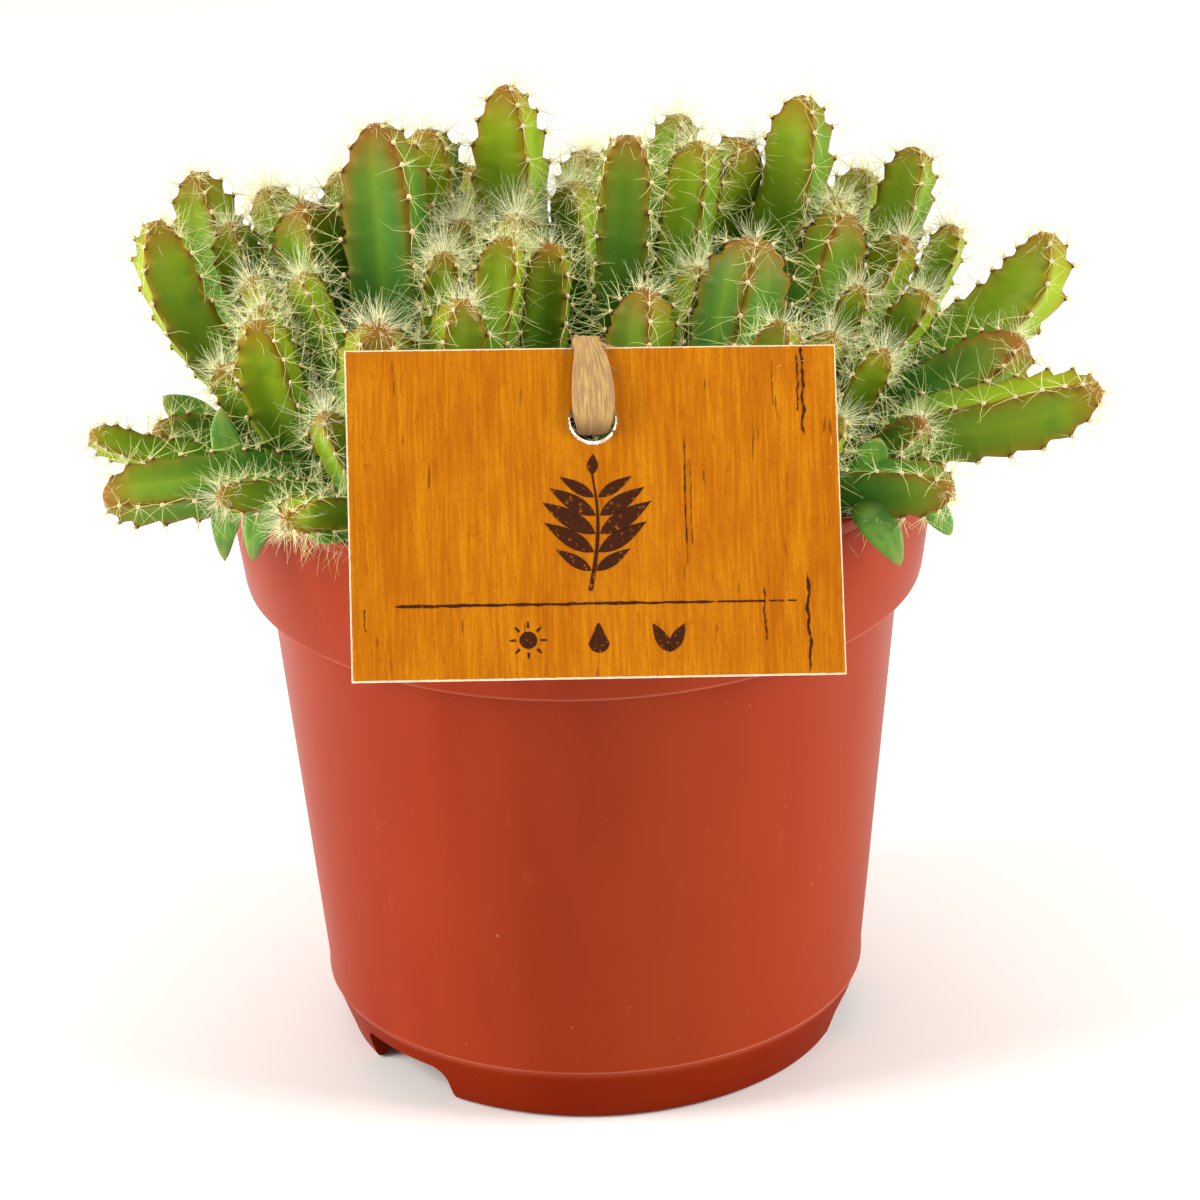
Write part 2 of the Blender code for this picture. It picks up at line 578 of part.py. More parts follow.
def leaf_object(name, group, root, middle, tip, width, looks):
    """A pointed, fleshy seed leaf along a bent path, four-sided in section."""
    root, middle, tip = (np.array(p, float) for p in (root, middle, tip))
    points = []
    for step in range(LEAF_RINGS):
        t = step / LEAF_RINGS
        centre = (1 - t) ** 2 * root + 2 * t * (1 - t) * middle + t * t * tip
        travel = 2 * (1 - t) * (middle - root) + 2 * t * (tip - middle)
        wide = np.cross(travel, looks)
        wide /= np.linalg.norm(wide)
        thick = np.cross(wide, travel)
        thick /= np.linalg.norm(thick)
        half = width / 2 * (0.35 + 0.65 * math.sin(math.pi * min(1.0, 0.15 + 0.95 * t)))
        level = LEAF_THICK / 2 * (1.0 - 0.35 * t)
        for offset in (wide * half, thick * level, -wide * half, -thick * level):
            points.append(centre + offset)
    points.append(tip)
    faces = [(3, 2, 1, 0)]
    for step in range(LEAF_RINGS - 1):
        for side in range(4):
            after = (side + 1) % 4
            low, high = 4 * step, 4 * step + 4
            faces.append((low + side, low + after, high + after, high + side))
    last = 4 * (LEAF_RINGS - 1)
    for side in range(4):
        faces.append((last + side, last + (side + 1) % 4, 4 * LEAF_RINGS))
    return mesh_object(name, group, points, faces)


def spine_object(name, group, start, direction, length):
    shape = bmesh.new()
    bmesh.ops.create_cone(
        shape, cap_ends=True, segments=3, radius1=SPINE_R * MM, radius2=0.0, depth=(length + SPINE_SUNK) * MM
    )
    mesh = bpy.data.meshes.new(name)
    shape.to_mesh(mesh)
    shape.free()
    made = bpy.data.objects.new(name, mesh)
    middle = start + direction * (length - SPINE_SUNK) / 2
    turn = Vector((0.0, 0.0, 1.0)).rotation_difference(Vector(direction))
    mesh.transform(Matrix.Translation(Vector(placed(middle))) @ turn.to_matrix().to_4x4())
    group.objects.link(made)
    return made


def finished(target):
    """The target with its modifiers made into plain mesh."""
    graph = bpy.context.evaluated_depsgraph_get()
    mesh = bpy.data.meshes.new_from_object(target.evaluated_get(graph), depsgraph=graph)
    target.modifiers.clear()
    old = target.data
    target.data = mesh
    bpy.data.meshes.remove(old)


def fuse(target, group):
    """Joins every solid of the group to the target, and removes them."""
    union = target.modifiers.new("Fuse", "BOOLEAN")
    union.operation = "UNION"
    union.operand_type = "COLLECTION"
    union.collection = group
    union.solver = "MANIFOLD"
    bpy.context.view_layer.update()
    finished(target)
    for piece in list(group.objects):
        bpy.data.objects.remove(piece, do_unlink=True)


def tree_of(target):
    graph = bpy.context.evaluated_depsgraph_get()
    evaluated = target.evaluated_get(graph)
    mesh = evaluated.to_mesh()
    mesh.calc_loop_triangles()
    points = [target.matrix_world @ v.co for v in mesh.vertices]
    faces = [tuple(face.vertices) for face in mesh.loop_triangles]
    evaluated.to_mesh_clear()
    return BVHTree.FromPolygons(points, faces)


def choose_spines(teeth, solids):
    """Needles on the crests by a seeded rule, each kept clear of every other piece and of the needles before it."""
    chance = random.Random(SPINE_SEED)
    taken = {name: [] for name in teeth}
    samples = np.zeros((0, 3))
    for name, places in teeth.items():
        order = SPINE_TRIES * list(places)
        chance.shuffle(order)
        others = [tree for other, tree in solids.items() if other != name]
        for point, out, along in order:
            if len(taken[name]) == SPINES_EACH:
                break
            length = chance.uniform(*SPINE_LENGTHS)
            direction = out + along * chance.uniform(-0.5, 0.6) + 0.25 * np.array(
                [chance.uniform(-1, 1), chance.uniform(-1, 1), chance.uniform(-1, 1)]
            )
            direction /= np.linalg.norm(direction)
            line = np.array([point + direction * length * step / 8 for step in range(9)])
            near = any(
                tree.find_nearest(Vector(spot))[3] < SPINE_CLEAR * MM for tree in others for spot in placed(line)
            )
            if near:
                continue
            distance = np.linalg.norm(samples[:, None] - line[None], axis=2)
            if (distance < 3 * SPINE_CLEAR).any():
                continue
            samples = np.concatenate([samples, line])
            taken[name].append((point, direction, length))
    return taken


def main():
    clear_scene()
    group = collection("Potted_dragon_fruit_cactus")
    pot = make_pot(group, collection("Pot_cutters", helper=True))
    soil = make_soil(group, collection("Soil_cutters", helper=True))
    card = make_card(group, collection("Card_cutters", helper=True))
    ribbon = make_ribbon(group)
    teeth = {}
    stems = {}
    for name in STEMS:
        points, faces, teeth[name] = stem_shape(name)
        green = material(f"{name}_flesh", (0.16, 0.27, 0.045), 0.5)
        stems[name] = mesh_object(name, group, points, faces, green)
    pieces = collection("Fused_pieces")
    bpy.context.view_layer.update()
    for name, leaves in SEED_LEAVES.items():
        for number, leaf in enumerate(leaves):
            leaf_object(f"{name}_leaf_{number + 1}", pieces, *leaf)
        fuse(stems[name], pieces)
    solids = {made.name: tree_of(made) for made in (pot, soil, card, ribbon, *stems.values())}
    for name, spines in choose_spines(teeth, solids).items():
        for number, (point, direction, length) in enumerate(spines):
            spine_object(f"{name}_spine_{number + 1}", pieces, point, direction, length)
        if spines:
            fuse(stems[name], pieces)
    bpy.data.collections.remove(pieces)


main()
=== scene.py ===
import json
import math
import random

import bmesh
import bpy
import numpy as np
from mathutils import Matrix, Vector

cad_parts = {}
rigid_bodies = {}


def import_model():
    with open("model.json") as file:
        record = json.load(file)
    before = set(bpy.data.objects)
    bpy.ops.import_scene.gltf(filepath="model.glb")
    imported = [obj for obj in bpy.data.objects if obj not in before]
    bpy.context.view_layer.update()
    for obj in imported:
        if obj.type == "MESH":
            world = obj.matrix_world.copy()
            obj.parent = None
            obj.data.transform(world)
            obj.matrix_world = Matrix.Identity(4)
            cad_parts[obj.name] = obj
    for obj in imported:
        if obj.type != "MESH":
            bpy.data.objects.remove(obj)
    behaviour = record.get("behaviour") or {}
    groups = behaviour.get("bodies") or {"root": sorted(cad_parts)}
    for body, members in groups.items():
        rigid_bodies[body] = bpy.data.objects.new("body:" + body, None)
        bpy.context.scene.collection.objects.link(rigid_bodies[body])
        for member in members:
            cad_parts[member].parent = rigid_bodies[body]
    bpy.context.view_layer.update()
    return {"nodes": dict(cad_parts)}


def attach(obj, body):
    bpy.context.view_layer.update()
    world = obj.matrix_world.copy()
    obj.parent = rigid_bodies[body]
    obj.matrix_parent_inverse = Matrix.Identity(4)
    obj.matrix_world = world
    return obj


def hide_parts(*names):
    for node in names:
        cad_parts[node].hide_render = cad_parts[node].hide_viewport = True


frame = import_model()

mm = 0.001
centre = np.array([3.0, -7.0, 0.0])  # middle of the footprint, in millimetres from the pot's axis


def inScene(points):
    # millimetres from the pot's axis become metres of the model's frame
    return (np.asarray(points, float) - centre) * mm


# helpers for finishes


def newFinish(name, roughness, specular):
    made = bpy.data.materials.new(name)
    made.use_nodes = True
    shader = made.node_tree.nodes["Principled BSDF"]
    shader.inputs["Roughness"].default_value = roughness
    shader.inputs["Specular IOR Level"].default_value = specular
    return made, made.node_tree, shader


def put(tree, kind, wired=(), **settings):
    # a node and its settings; each wired pair is an input and the socket or value that it takes
    node = tree.nodes.new(kind)
    for key, value in settings.items():
        setattr(node, key, value)
    for key, value in wired:
        if isinstance(value, bpy.types.NodeSocket):
            tree.links.new(value, node.inputs[key])
        else:
            node.inputs[key].default_value = value
    return node


def figured(tree, operation, *values):
    return put(tree, "ShaderNodeMath", enumerate(values), operation=operation).outputs[0]


def mixed(tree, factor, first, second):
    first, second = ((*value, 1.0) if isinstance(value, tuple) else value for value in (first, second))
    return put(tree, "ShaderNodeMix", ((0, factor), (6, first), (7, second)), data_type="RGBA").outputs[2]


def between(tree, value, low, high, start=0.0, end=1.0):
    wired = (("Value", value), ("From Min", low), ("From Max", high), ("To Min", start), ("To Max", end))
    return put(tree, "ShaderNodeMapRange", wired, interpolation_type="SMOOTHSTEP").outputs[0]


def coated(tree, colour, *coats):
    # each coat: the pattern it follows, where that starts and is full, how strong it gets, and its colour
    for pattern, low, high, strength, coat in coats:
        colour = mixed(tree, between(tree, pattern, low, high, 0.0, strength), colour, coat)
    return colour


def noiseOn(tree, place, scale, detail=3.0, stretch=(1.0, 1.0, 1.0), rough=0.55):
    spot = put(tree, "ShaderNodeMapping", (("Vector", place), ("Scale", stretch))).outputs[0]
    wired = (("Vector", spot), ("Scale", scale), ("Detail", detail), ("Roughness", rough))
    return put(tree, "ShaderNodeTexNoise", wired).outputs["Fac"]


def painted(tree, shader, colour, roughness=None):
    tree.links.new(colour, shader.inputs["Base Color"])
    if roughness:
        tree.links.new(roughness, shader.inputs["Roughness"])


def raised(tree, shader, height, depth, strength=1.0):
    wired = (("Height", height), ("Distance", depth * mm), ("Strength", strength))
    tree.links.new(put(tree, "ShaderNodeBump", wired).outputs[0], shader.inputs["Normal"])


def objectPlace(tree):
    return put(tree, "ShaderNodeTexCoord").outputs["Object"]


def apart(tree, place):
    return put(tree, "ShaderNodeSeparateXYZ", (("Vector", place),)).outputs


def named(tree, name):
    # the three values that the skin keeps in one attribute
    found = put(tree, "ShaderNodeAttribute", attribute_name=name)
    return put(tree, "ShaderNodeSeparateColor", (("Color", found.outputs["Color"]),)).outputs[:3]


# helpers for shapes


def unit(vectors):
    return np.asarray(vectors) / np.linalg.norm(vectors, axis=-1, keepdims=True)


def signedPower(value, power):
    return np.sign(value) * np.abs(value) ** power


def sheetInto(bm, across, along, spotAt):
    # a grid whose points are set by spotAt(u, v); u and v run from 0 to 1
    verts = bmesh.ops.create_grid(bm, x_segments=across, y_segments=along, size=1.0)["verts"]
    uv = np.array([v.co[:2] for v in verts]) / 2 + 0.5
    for vert, co in zip(verts, inScene(spotAt(uv[:, 0], uv[:, 1]))):
        vert.co = co
    return verts, uv


def closeUp(bm):
    # seams and poles merged, faces outward
    bmesh.ops.remove_doubles(bm, verts=bm.verts, dist=1e-7)
    bmesh.ops.delete(bm, geom=[f for f in bm.faces if f.calc_area() < 1e-14], context="FACES")
    bmesh.ops.recalc_face_normals(bm, faces=bm.faces)


def asPiece(name, bm, finishes, nodes=(), smooth=True):
    mesh = bpy.data.meshes.new(name)
    bm.to_mesh(mesh)
    bm.free()
    if smooth:
        mesh.polygons.foreach_set("use_smooth", [True] * len(mesh.polygons))
    for finish in finishes:
        mesh.materials.append(finish)
    made = bpy.data.objects.new(name, mesh)
    bpy.context.scene.collection.objects.link(made)
    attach(made, "root")
    if nodes:
        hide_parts(*nodes)
    return made


def evaluatedMesh(made):
    bpy.context.view_layer.update()
    graph = bpy.context.evaluated_depsgraph_get()
    return bpy.data.meshes.new_from_object(made.evaluated_get(graph), depsgraph=graph)


def slotSince(bm, before, slot):
    bm.faces.ensure_lookup_table()
    for face in bm.faces[before:]:
        face.material_index = slot


def threadsInto(bm, threads, slot):
    # every thread is a list of (place, radius) in millimetres; a fine curve makes each one a tapered tube
    line = bpy.data.curves.new("threads", "CURVE")
    line.dimensions = "3D"
    line.bevel_depth = mm
    line.bevel_resolution = 0
    for thread in threads:
        spline = line.splines.new("POLY")
        spline.points.add(len(thread) - 1)
        places = inScene([spot for spot, _ in thread])
        spline.points.foreach_set("co", np.column_stack([places, np.ones(len(thread))]).ravel())
        spline.points.foreach_set("radius", [radius for _, radius in thread])
    holder = bpy.data.objects.new("threads", line)
    bpy.context.scene.collection.objects.link(holder)
    mesh = evaluatedMesh(holder)
    bpy.data.objects.remove(holder)
    bpy.data.curves.remove(line)
    before = len(bm.faces)
    bm.from_mesh(mesh)
    bpy.data.meshes.remove(mesh)
    slotSince(bm, before, slot)


# camera, lights and floor

view = {
    "place": (0.0, -991.77, 530.96),  # millimetres from the pot's axis
    "right": (0.99955, -0.01457, -0.02625),
    "up": (0.02992, 0.41213, 0.91064),
    "ahead": (0.00245, 0.91101, -0.41238),
    "lens": 179.29,
}
light = {
    "pale": (1.0, 0.97, 0.92),
    "world": 0.24,
    "boxes": {  # place, what it faces, size and power
        "leftBox": ((-1.0, -0.25, 0.5), (0.0, 0.0, 0.08), (0.5, 1.0), 19.0),
        "rightBox": ((1.0, -0.25, 0.55), (0.0, 0.0, 0.08), (0.5, 1.0), 17.1),
        "frontBox": ((0.1, -1.3, 1.1), (0.0, 0.0, 0.12), (1.2, 0.6), 0.4),
        "topBox": ((0.0, 0.25, 1.3), (0.0, 0.0, 0.1), (0.9, 0.9), 6.6),
    },
}
floorForm = {"half": 6.0, "under": 0.0002}  # in metres


def makeCamera():
    data = bpy.data.cameras.new("camera")
    data.sensor_width = 36.0
    data.lens = view["lens"]
    data.clip_end = 50.0
    camera = bpy.data.objects.new("camera", data)
    turn = Matrix((view["right"], view["up"], [-a for a in view["ahead"]])).transposed()
    camera.matrix_world = Matrix.Translation(inScene(view["place"])) @ turn.to_4x4()
    bpy.context.scene.collection.objects.link(camera)
    bpy.context.scene.camera = camera


def makeLights():
    for name, (place, target, size, power) in light["boxes"].items():
        lamp = bpy.data.lights.new(name, "AREA")
        lamp.shape = "RECTANGLE"
        lamp.size, lamp.size_y = size
        lamp.energy = power
        lamp.color = light["pale"]
        box = bpy.data.objects.new(name, lamp)
        box.location = place
        box.rotation_euler = (Vector(target) - Vector(place)).to_track_quat("-Z", "Y").to_euler()
        bpy.context.scene.collection.objects.link(box)
    world = bpy.data.worlds.new("studio")
    world.use_nodes = True
    sky = world.node_tree.nodes["Background"]
    sky.inputs["Color"].default_value = (1.0, 1.0, 1.0, 1.0)
    sky.inputs["Strength"].default_value = light["world"]
    bpy.context.scene.world = world
    bpy.context.scene.view_settings.view_transform = "Standard"


def makeFloor():
    bm = bmesh.new()
    bmesh.ops.create_grid(bm, x_segments=2, y_segments=2, size=floorForm["half"])
    mesh = bpy.data.meshes.new("floor")
    bm.to_mesh(mesh)
    bm.free()
    finish, tree, shader = newFinish("paleFloor", 0.9, 0.1)
    grain = noiseOn(tree, objectPlace(tree), 3.0)
    painted(tree, shader, mixed(tree, grain, (0.93, 0.93, 0.93), (0.96, 0.96, 0.96)))
    mesh.materials.append(finish)
    floor = bpy.data.objects.new("floor", mesh)
    floor.location = (0.0, 0.0, -floorForm["under"])
    bpy.context.scene.collection.objects.link(floor)


makeCamera()
makeLights()
makeFloor()
print("studio ready")

# pot, in millimetres

pot = {
    "rim": 65.0,
    "rimUp": 116.8,
    "collarFoot": 61.4,
    "collarUp": 90.5,
    "body": 57.2,
    "bend": 49.3,
    "bendUp": 10.9,
    "foot": 45.4,
    "wall": 1.6,
    "ring": 2.0,
    "floorUp": 3.6,
    "floorThick": 1.6,
    "notchTurns": (-49.5, 81.5, 196.0),
    "notchOut": 48.0,
    "notchDeep": 12.0,
    "notchWide": 22.0,
    "notchTall": 7.0,
    "notchRound": 3.0,
    "drains": 6,
    "drain": 2.5,
    "drainCircle": 28.0,
    "drillUp": 4.0,
    "drillLong": 12.0,
    "sides": 160,
    "sharp": 38,  # in degrees
}


def potFinish():
    made, tree, shader = newFinish("terracottaPlastic", 0.42, 0.07)
    place = objectPlace(tree)
    streak = noiseOn(tree, place, 55.0, 4.0, (1.0, 1.0, 0.16))
    cloud = noiseOn(tree, place, 16.0, 3.0, (1.0, 1.0, 0.5))
    speck = noiseOn(tree, place, 1100.0, 1.5)
    scuff = noiseOn(tree, place, 210.0, 5.0, (1.0, 1.0, 0.4), 0.7)
    height = apart(tree, place)[2]
    colour = coated(
        tree,
        mixed(tree, between(tree, streak, 0.3, 0.7), (0.258, 0.0215, 0.0026), (0.300, 0.0300, 0.0048)),
        (cloud, 0.35, 0.75, 0.50, (0.345, 0.045, 0.009)),
        (scuff, 0.62, 0.78, 0.35, (0.40, 0.085, 0.030)),
        (speck, 0.76, 0.82, 0.50, (0.62, 0.28, 0.17)),
    )
    for up in (pot["bendUp"] + 0.35, pot["collarUp"] + 0.45):  # painted highlight: paler broken lines where the wall turns
        reach = figured(tree, "ABSOLUTE", figured(tree, "SUBTRACT", height, up * mm))
        near = between(tree, reach, 0.30 * mm, 0.10 * mm, 0.0, 0.5)
        line = figured(tree, "MULTIPLY", near, between(tree, cloud, 0.35, 0.6, 0.35, 1.0))
        colour = mixed(tree, line, colour, (0.52, 0.15, 0.08))
    # painted shade: the foot below the bend is darkened
    bend = pot["bendUp"] * mm
    foot = between(tree, height, bend, 0.8 * bend, 0.13, 0.60)
    colour = mixed(tree, foot, colour, (0.17, 0.008, 0.0006))
    painted(tree, shader, colour, between(tree, cloud, 0.3, 0.7, 0.36, 0.50))
    # the faint bloom that plastic shows at a low angle, but for the foot
    for low, high, socket in ((0.0, 0.10, "Sheen Weight"), (0.01, 0.07, "Specular IOR Level")):
        tree.links.new(between(tree, height, 0.9 * bend, bend, low, high), shader.inputs[socket])
    shader.inputs["Sheen Roughness"].default_value = 0.45
    raised(tree, shader, noiseOn(tree, place, 420.0, 2.0), 0.05, 0.35)
    return made


def potProfile():
    # radius and height, from the floor's middle over the rim and down to the foot
    p = pot
    wall = p["wall"]
    slope = (p["rim"] - p["collarFoot"]) / (p["rimUp"] - p["collarUp"])
    floorTop = p["floorUp"] + p["floorThick"]
    innerFloor = p["foot"] - wall + floorTop / p["bendUp"] * (p["bend"] - p["foot"])
    inside = [(0.0, floorTop), (innerFloor, floorTop), (p["bend"] - wall, p["bendUp"])]
    inside += [(p[key] - wall, p["collarUp"] + wall) for key in ("body", "collarFoot")]
    # small steps out and up from each turn of the wall
    turns = (
        (p["rim"] - wall, p["rimUp"], ((0.0, -0.5), (0.25, -0.1), (0.6, 0.0))),
        (p["rim"], p["rimUp"], ((-0.6, 0.0), (-0.2, -0.15), (0.0, -0.5))),
        (p["rim"] - slope * 2.6, p["rimUp"] - 2.6, ((0.0, 0.0),)),
        (p["rim"] - slope * 2.9, p["rimUp"] - 2.9, ((-0.25, 0.0),)),  # fine line under the lip
        (p["rim"] - slope * 3.3, p["rimUp"] - 3.3, ((-0.05, 0.0),)),
        (p["collarFoot"], p["collarUp"], ((0.05, 0.9), (-0.1, 0.3), (-0.6, 0.0))),
        (p["body"], p["collarUp"], ((0.5, 0.0), (0.1, -0.4), (-0.05, -1.2))),
        (p["bend"], p["bendUp"], ((0.15, 1.2), (0.35, 0.6), (0.3, 0.0), (-0.15, -0.7))),  # raised ring
        (p["foot"], 0.0, ((0.4, 1.0), (-0.1, 0.25), (-0.6, 0.0))),
        (p["foot"] - p["ring"], 0.0, ((0.3, 0.0), (0.0, 0.3), (0.0, p["floorUp"]))),
    )
    wallLine = [(r + out, z + up) for r, z, steps in turns for out, up in steps]
    return inside + wallLine + [(0.0, p["floorUp"])]


def aroundAxis(out, turn, up):
    return inScene((out * math.cos(turn), out * math.sin(turn), up))


def makePot():
    p = pot
    bm = bmesh.new()
    verts = [bm.verts.new(inScene((r, 0.0, z))) for r, z in potProfile()]
    edges = [bm.edges.new(pair) for pair in zip(verts, verts[1:])]
    turning = {"axis": (0, 0, 1), "angle": math.tau, "steps": p["sides"], "use_merge": True}
    bmesh.ops.spin(bm, geom=verts + edges, cent=inScene((0, 0, 0)), **turning)
    closeUp(bm)
    made = asPiece("potShell", bm, [potFinish()], ["Pot"])
    cutters = []
    for turn in p["notchTurns"]:
        angle = math.radians(turn - 90.0)
        block = bmesh.new()
        bmesh.ops.create_cube(block, size=1.0)
        size = Vector((p["notchDeep"], p["notchWide"], 2 * p["notchTall"])) * mm
        bmesh.ops.scale(block, vec=size, verts=block.verts)
        above = [e for e in block.edges if all(v.co.z > 0 for v in e.verts)]
        upper = [e for e in above if e.verts[0].co.y * e.verts[1].co.y > 0]
        rounding = {"segments": 6, "profile": 0.5, "material": -1, "affect": "EDGES"}
        bmesh.ops.bevel(block, geom=upper, offset=p["notchRound"] * mm, **rounding)
        bmesh.ops.rotate(block, cent=(0, 0, 0), matrix=Matrix.Rotation(angle, 3, "Z"), verts=block.verts)
        bmesh.ops.translate(block, vec=Vector(aroundAxis(p["notchOut"], angle, 0.0)), verts=block.verts)
        cutters.append(block)
    for number in range(p["drains"]):
        turn = math.tau * number / p["drains"]
        spot = Matrix.Translation(aroundAxis(p["drainCircle"], turn, p["drillUp"]))
        rod = bmesh.new()
        wide = {"radius1": p["drain"] * mm, "radius2": p["drain"] * mm, "depth": p["drillLong"] * mm}
        bmesh.ops.create_cone(rod, cap_ends=True, segments=24, matrix=spot, **wide)
        cutters.append(rod)
    cutFrom(made, cutters)


def cutFrom(made, cutters):
    helpers = bpy.data.collections.new("helpers")
    bpy.context.scene.collection.children.link(helpers)
    for shape in cutters:
        mesh = bpy.data.meshes.new("helper")
        shape.to_mesh(mesh)
        shape.free()
        helpers.objects.link(bpy.data.objects.new("helper", mesh))
    cut = made.modifiers.new("cut", "BOOLEAN")
    cut.operand_type = "COLLECTION"
    cut.collection = helpers
    cut.solver = "EXACT"
    keepResult(made)
    for helper in list(helpers.objects):
        bpy.data.objects.remove(helper)
    bpy.data.collections.remove(helpers)
    sharp = made.modifiers.new("edges", "EDGE_SPLIT")
    sharp.split_angle = math.radians(pot["sharp"])
    keepResult(made)


def keepResult(made):
    mesh = evaluatedMesh(made)
    made.modifiers.clear()
    made.data = mesh


makePot()
print("pot ready")

# soil, in millimetres

soil = {
    "up": 112.0,
    "radius": 62.2,
    "crumbs": 1500,
    "sizes": (0.5, 0.6, 0.8, 1.0, 1.3, 1.8),
    "seed": 5,
}


def soilFinish():
    made, tree, shader = newFinish("pottingSoil", 0.95, 0.2)
    place = objectPlace(tree)
    grain = noiseOn(tree, place, 900.0, 3.0)
    patch = noiseOn(tree, place, 180.0, 3.0)
    colour = mixed(tree, between(tree, grain, 0.35, 0.7), (0.012, 0.008, 0.005), (0.060, 0.038, 0.022))
    painted(tree, shader, coated(tree, colour, (patch, 0.55, 0.75, 1.0, (0.11, 0.07, 0.04))))
    raised(tree, shader, grain, 0.5)
    return made


def makeSoil():
    finish = soilFinish()
    solid = frame["nodes"]["Soil"]
    solid.data.materials.clear()
    solid.data.materials.append(finish)
    chance = random.Random(soil["seed"])
    bm = bmesh.new()
    for _ in range(soil["crumbs"]):
        reach = soil["radius"] * math.sqrt(chance.random())
        angle = chance.random() * math.tau
        size = chance.choice(soil["sizes"])
        spot = Matrix.Translation(aroundAxis(reach, angle, soil["up"] + 0.35 * size))
        turn = Matrix.Rotation(chance.random() * 6, 4, "X") @ Matrix.Rotation(chance.random() * 6, 4, "Y")
        wide, tall = size * chance.uniform(0.5, 1.0), size * chance.uniform(0.5, 0.9)
        shape = Matrix.Diagonal((size, wide, tall, 1.0))
        bmesh.ops.create_icosphere(bm, subdivisions=1, radius=mm, matrix=spot @ turn @ shape)
    asPiece("soilCrumbs", bm, [finish], smooth=False)


makeSoil()
print("soil ready")

# hanging card, in millimetres and degrees

card = {
    "wide": 84.0,
    "tall": 57.0,
    "thick": 0.8,
    "cells": (84, 57),
    "place": (2.1, -60.2, 125.6),
    "lean": 33.0,
    "yaw": 5.6,
    "roll": 3.1,
    "hole": 4.0,
    "holeUp": 16.1,
    "ink": 0.05,  # how far the print stands proud
    "sprigFoot": -13.5,  # above the card's middle, as are the next two
    "ruleUp": -15.7,
    "signsUp": -21.8,
    "signsApart": 12.0,
    "sprigLeaves": ((3, 6.0), (6, 8.4), (9, 9.0), (12, 7.8), (15, 5.8)),  # step of the stalk and reach
    "ruleRuns": ((-34.5, 20.0, 0.55), (20.3, 28.6, 0.4), (29.2, 31.8, 0.3), (32.4, 33.9, 0.25)),
    "cracks": (  # across, high end, low end, thickness and sway
        (36.0, 28.2, 12.8, 0.55, 0.20),
        (35.2, 27.0, 17.0, 0.3, 0.16),
        (36.0, -11.0, -28.2, 0.5, 0.22),
        (28.4, -13.5, -22.5, 0.3, 0.14),
        (15.6, 13.0, -9.5, 0.24, 0.08),
        (16.4, 9.0, -6.0, 0.12, 0.06),
        (31.0, 26.0, 18.0, 0.12, 0.06),
        (-39.6, -16.0, -20.0, 0.16, 0.08),
    ),
    "printSeed": 3,
    "rimSeed": 8,
}


def cardAxes():
    turns = (
        Matrix.Rotation(math.radians(card["yaw"]), 3, "Z"),
        Matrix.Rotation(-math.radians(card["lean"]), 3, "X"),
        Matrix.Rotation(math.radians(card["roll"]), 3, "Y"),
    )
    return np.array(turns[0] @ turns[1] @ turns[2])


def onCard(across, behind, up):
    spots = np.stack(np.broadcast_arrays(across, behind, up), axis=-1)
    return np.array(card["place"]) + spots @ cardAxes().T


def wornEdge(tree, spot):
    # 1 along the cut border, where the print has worn off the paper
    sides = apart(tree, spot)
    wear = noiseOn(tree, spot, 1.4, 2.0)
    found = 0.0
    for side, size in ((sides[0], card["wide"]), (sides[1], card["tall"])):
        frayed = figured(tree, "MULTIPLY_ADD", wear, 0.25, figured(tree, "ABSOLUTE", side))
        near = between(tree, frayed, size / 2 - 0.14, size / 2 - 0.02, 0.0, 0.8)
        found = figured(tree, "MAXIMUM", near, found)
    return found


def woodPrint():
    made, tree, shader = newFinish("printedWood", 0.6, 0.05)
    spot = put(tree, "ShaderNodeUVMap", uv_map="print").outputs[0]
    wave = noiseOn(tree, spot, 0.06, 2.0, (1.0, 0.5, 1.0))
    bent = put(tree, "ShaderNodeVectorMath", ((0, spot), (1, wave)), operation="ADD").outputs[0]
    fine = noiseOn(tree, bent, 1.6, 5.0, (1.0, 0.05, 1.0), 0.7)
    broad = noiseOn(tree, bent, 0.16, 3.0, (1.0, 0.16, 1.0))
    cloud = noiseOn(tree, spot, 0.07, 3.0, (1.0, 0.8, 1.0))
    flecks = noiseOn(tree, bent, 1.1, 2.0, (1.0, 0.11, 1.0), 0.4)
    mottle = noiseOn(tree, spot, 0.55, 4.0, (1.0, 0.35, 1.0), 0.75)
    pores = noiseOn(tree, spot, 3.6, 3.0, (1.0, 0.4, 1.0), 0.7)
    colour = coated(
        tree,
        mixed(tree, between(tree, broad, 0.3, 0.7), (0.43, 0.122, 0.0018), (0.53, 0.182, 0.0035)),
        (fine, 0.42, 0.66, 0.50, (0.32, 0.078, 0.0015)),
        (fine, 0.52, 0.34, 0.40, (0.62, 0.245, 0.005)),
        (mottle, 0.56, 0.70, 0.55, (0.34, 0.070, 0.0015)),
        (cloud, 0.45, 0.75, 0.45, (0.36, 0.088, 0.0025)),
        (pores, 0.50, 0.68, 0.45, (0.27, 0.065, 0.001)),
        (flecks, 0.70, 0.76, 0.75, (0.14, 0.038, 0.005)),
    )
    colour = mixed(tree, wornEdge(tree, spot), colour, (0.86, 0.74, 0.52))
    painted(tree, shader, colour, between(tree, fine, 0.3, 0.7, 0.42, 0.6))
    raised(tree, shader, fine, 0.03, 0.5)
    return made


def paperCore():
    made, tree, shader = newFinish("paperCore", 0.85, 0.2)
    fibre = noiseOn(tree, objectPlace(tree), 700.0, 3.0)
    share = between(tree, fibre, 0.35, 0.6)
    painted(tree, shader, mixed(tree, share, (0.62, 0.50, 0.36), (0.92, 0.89, 0.82)))
    raised(tree, shader, fibre, 0.08)
    return made


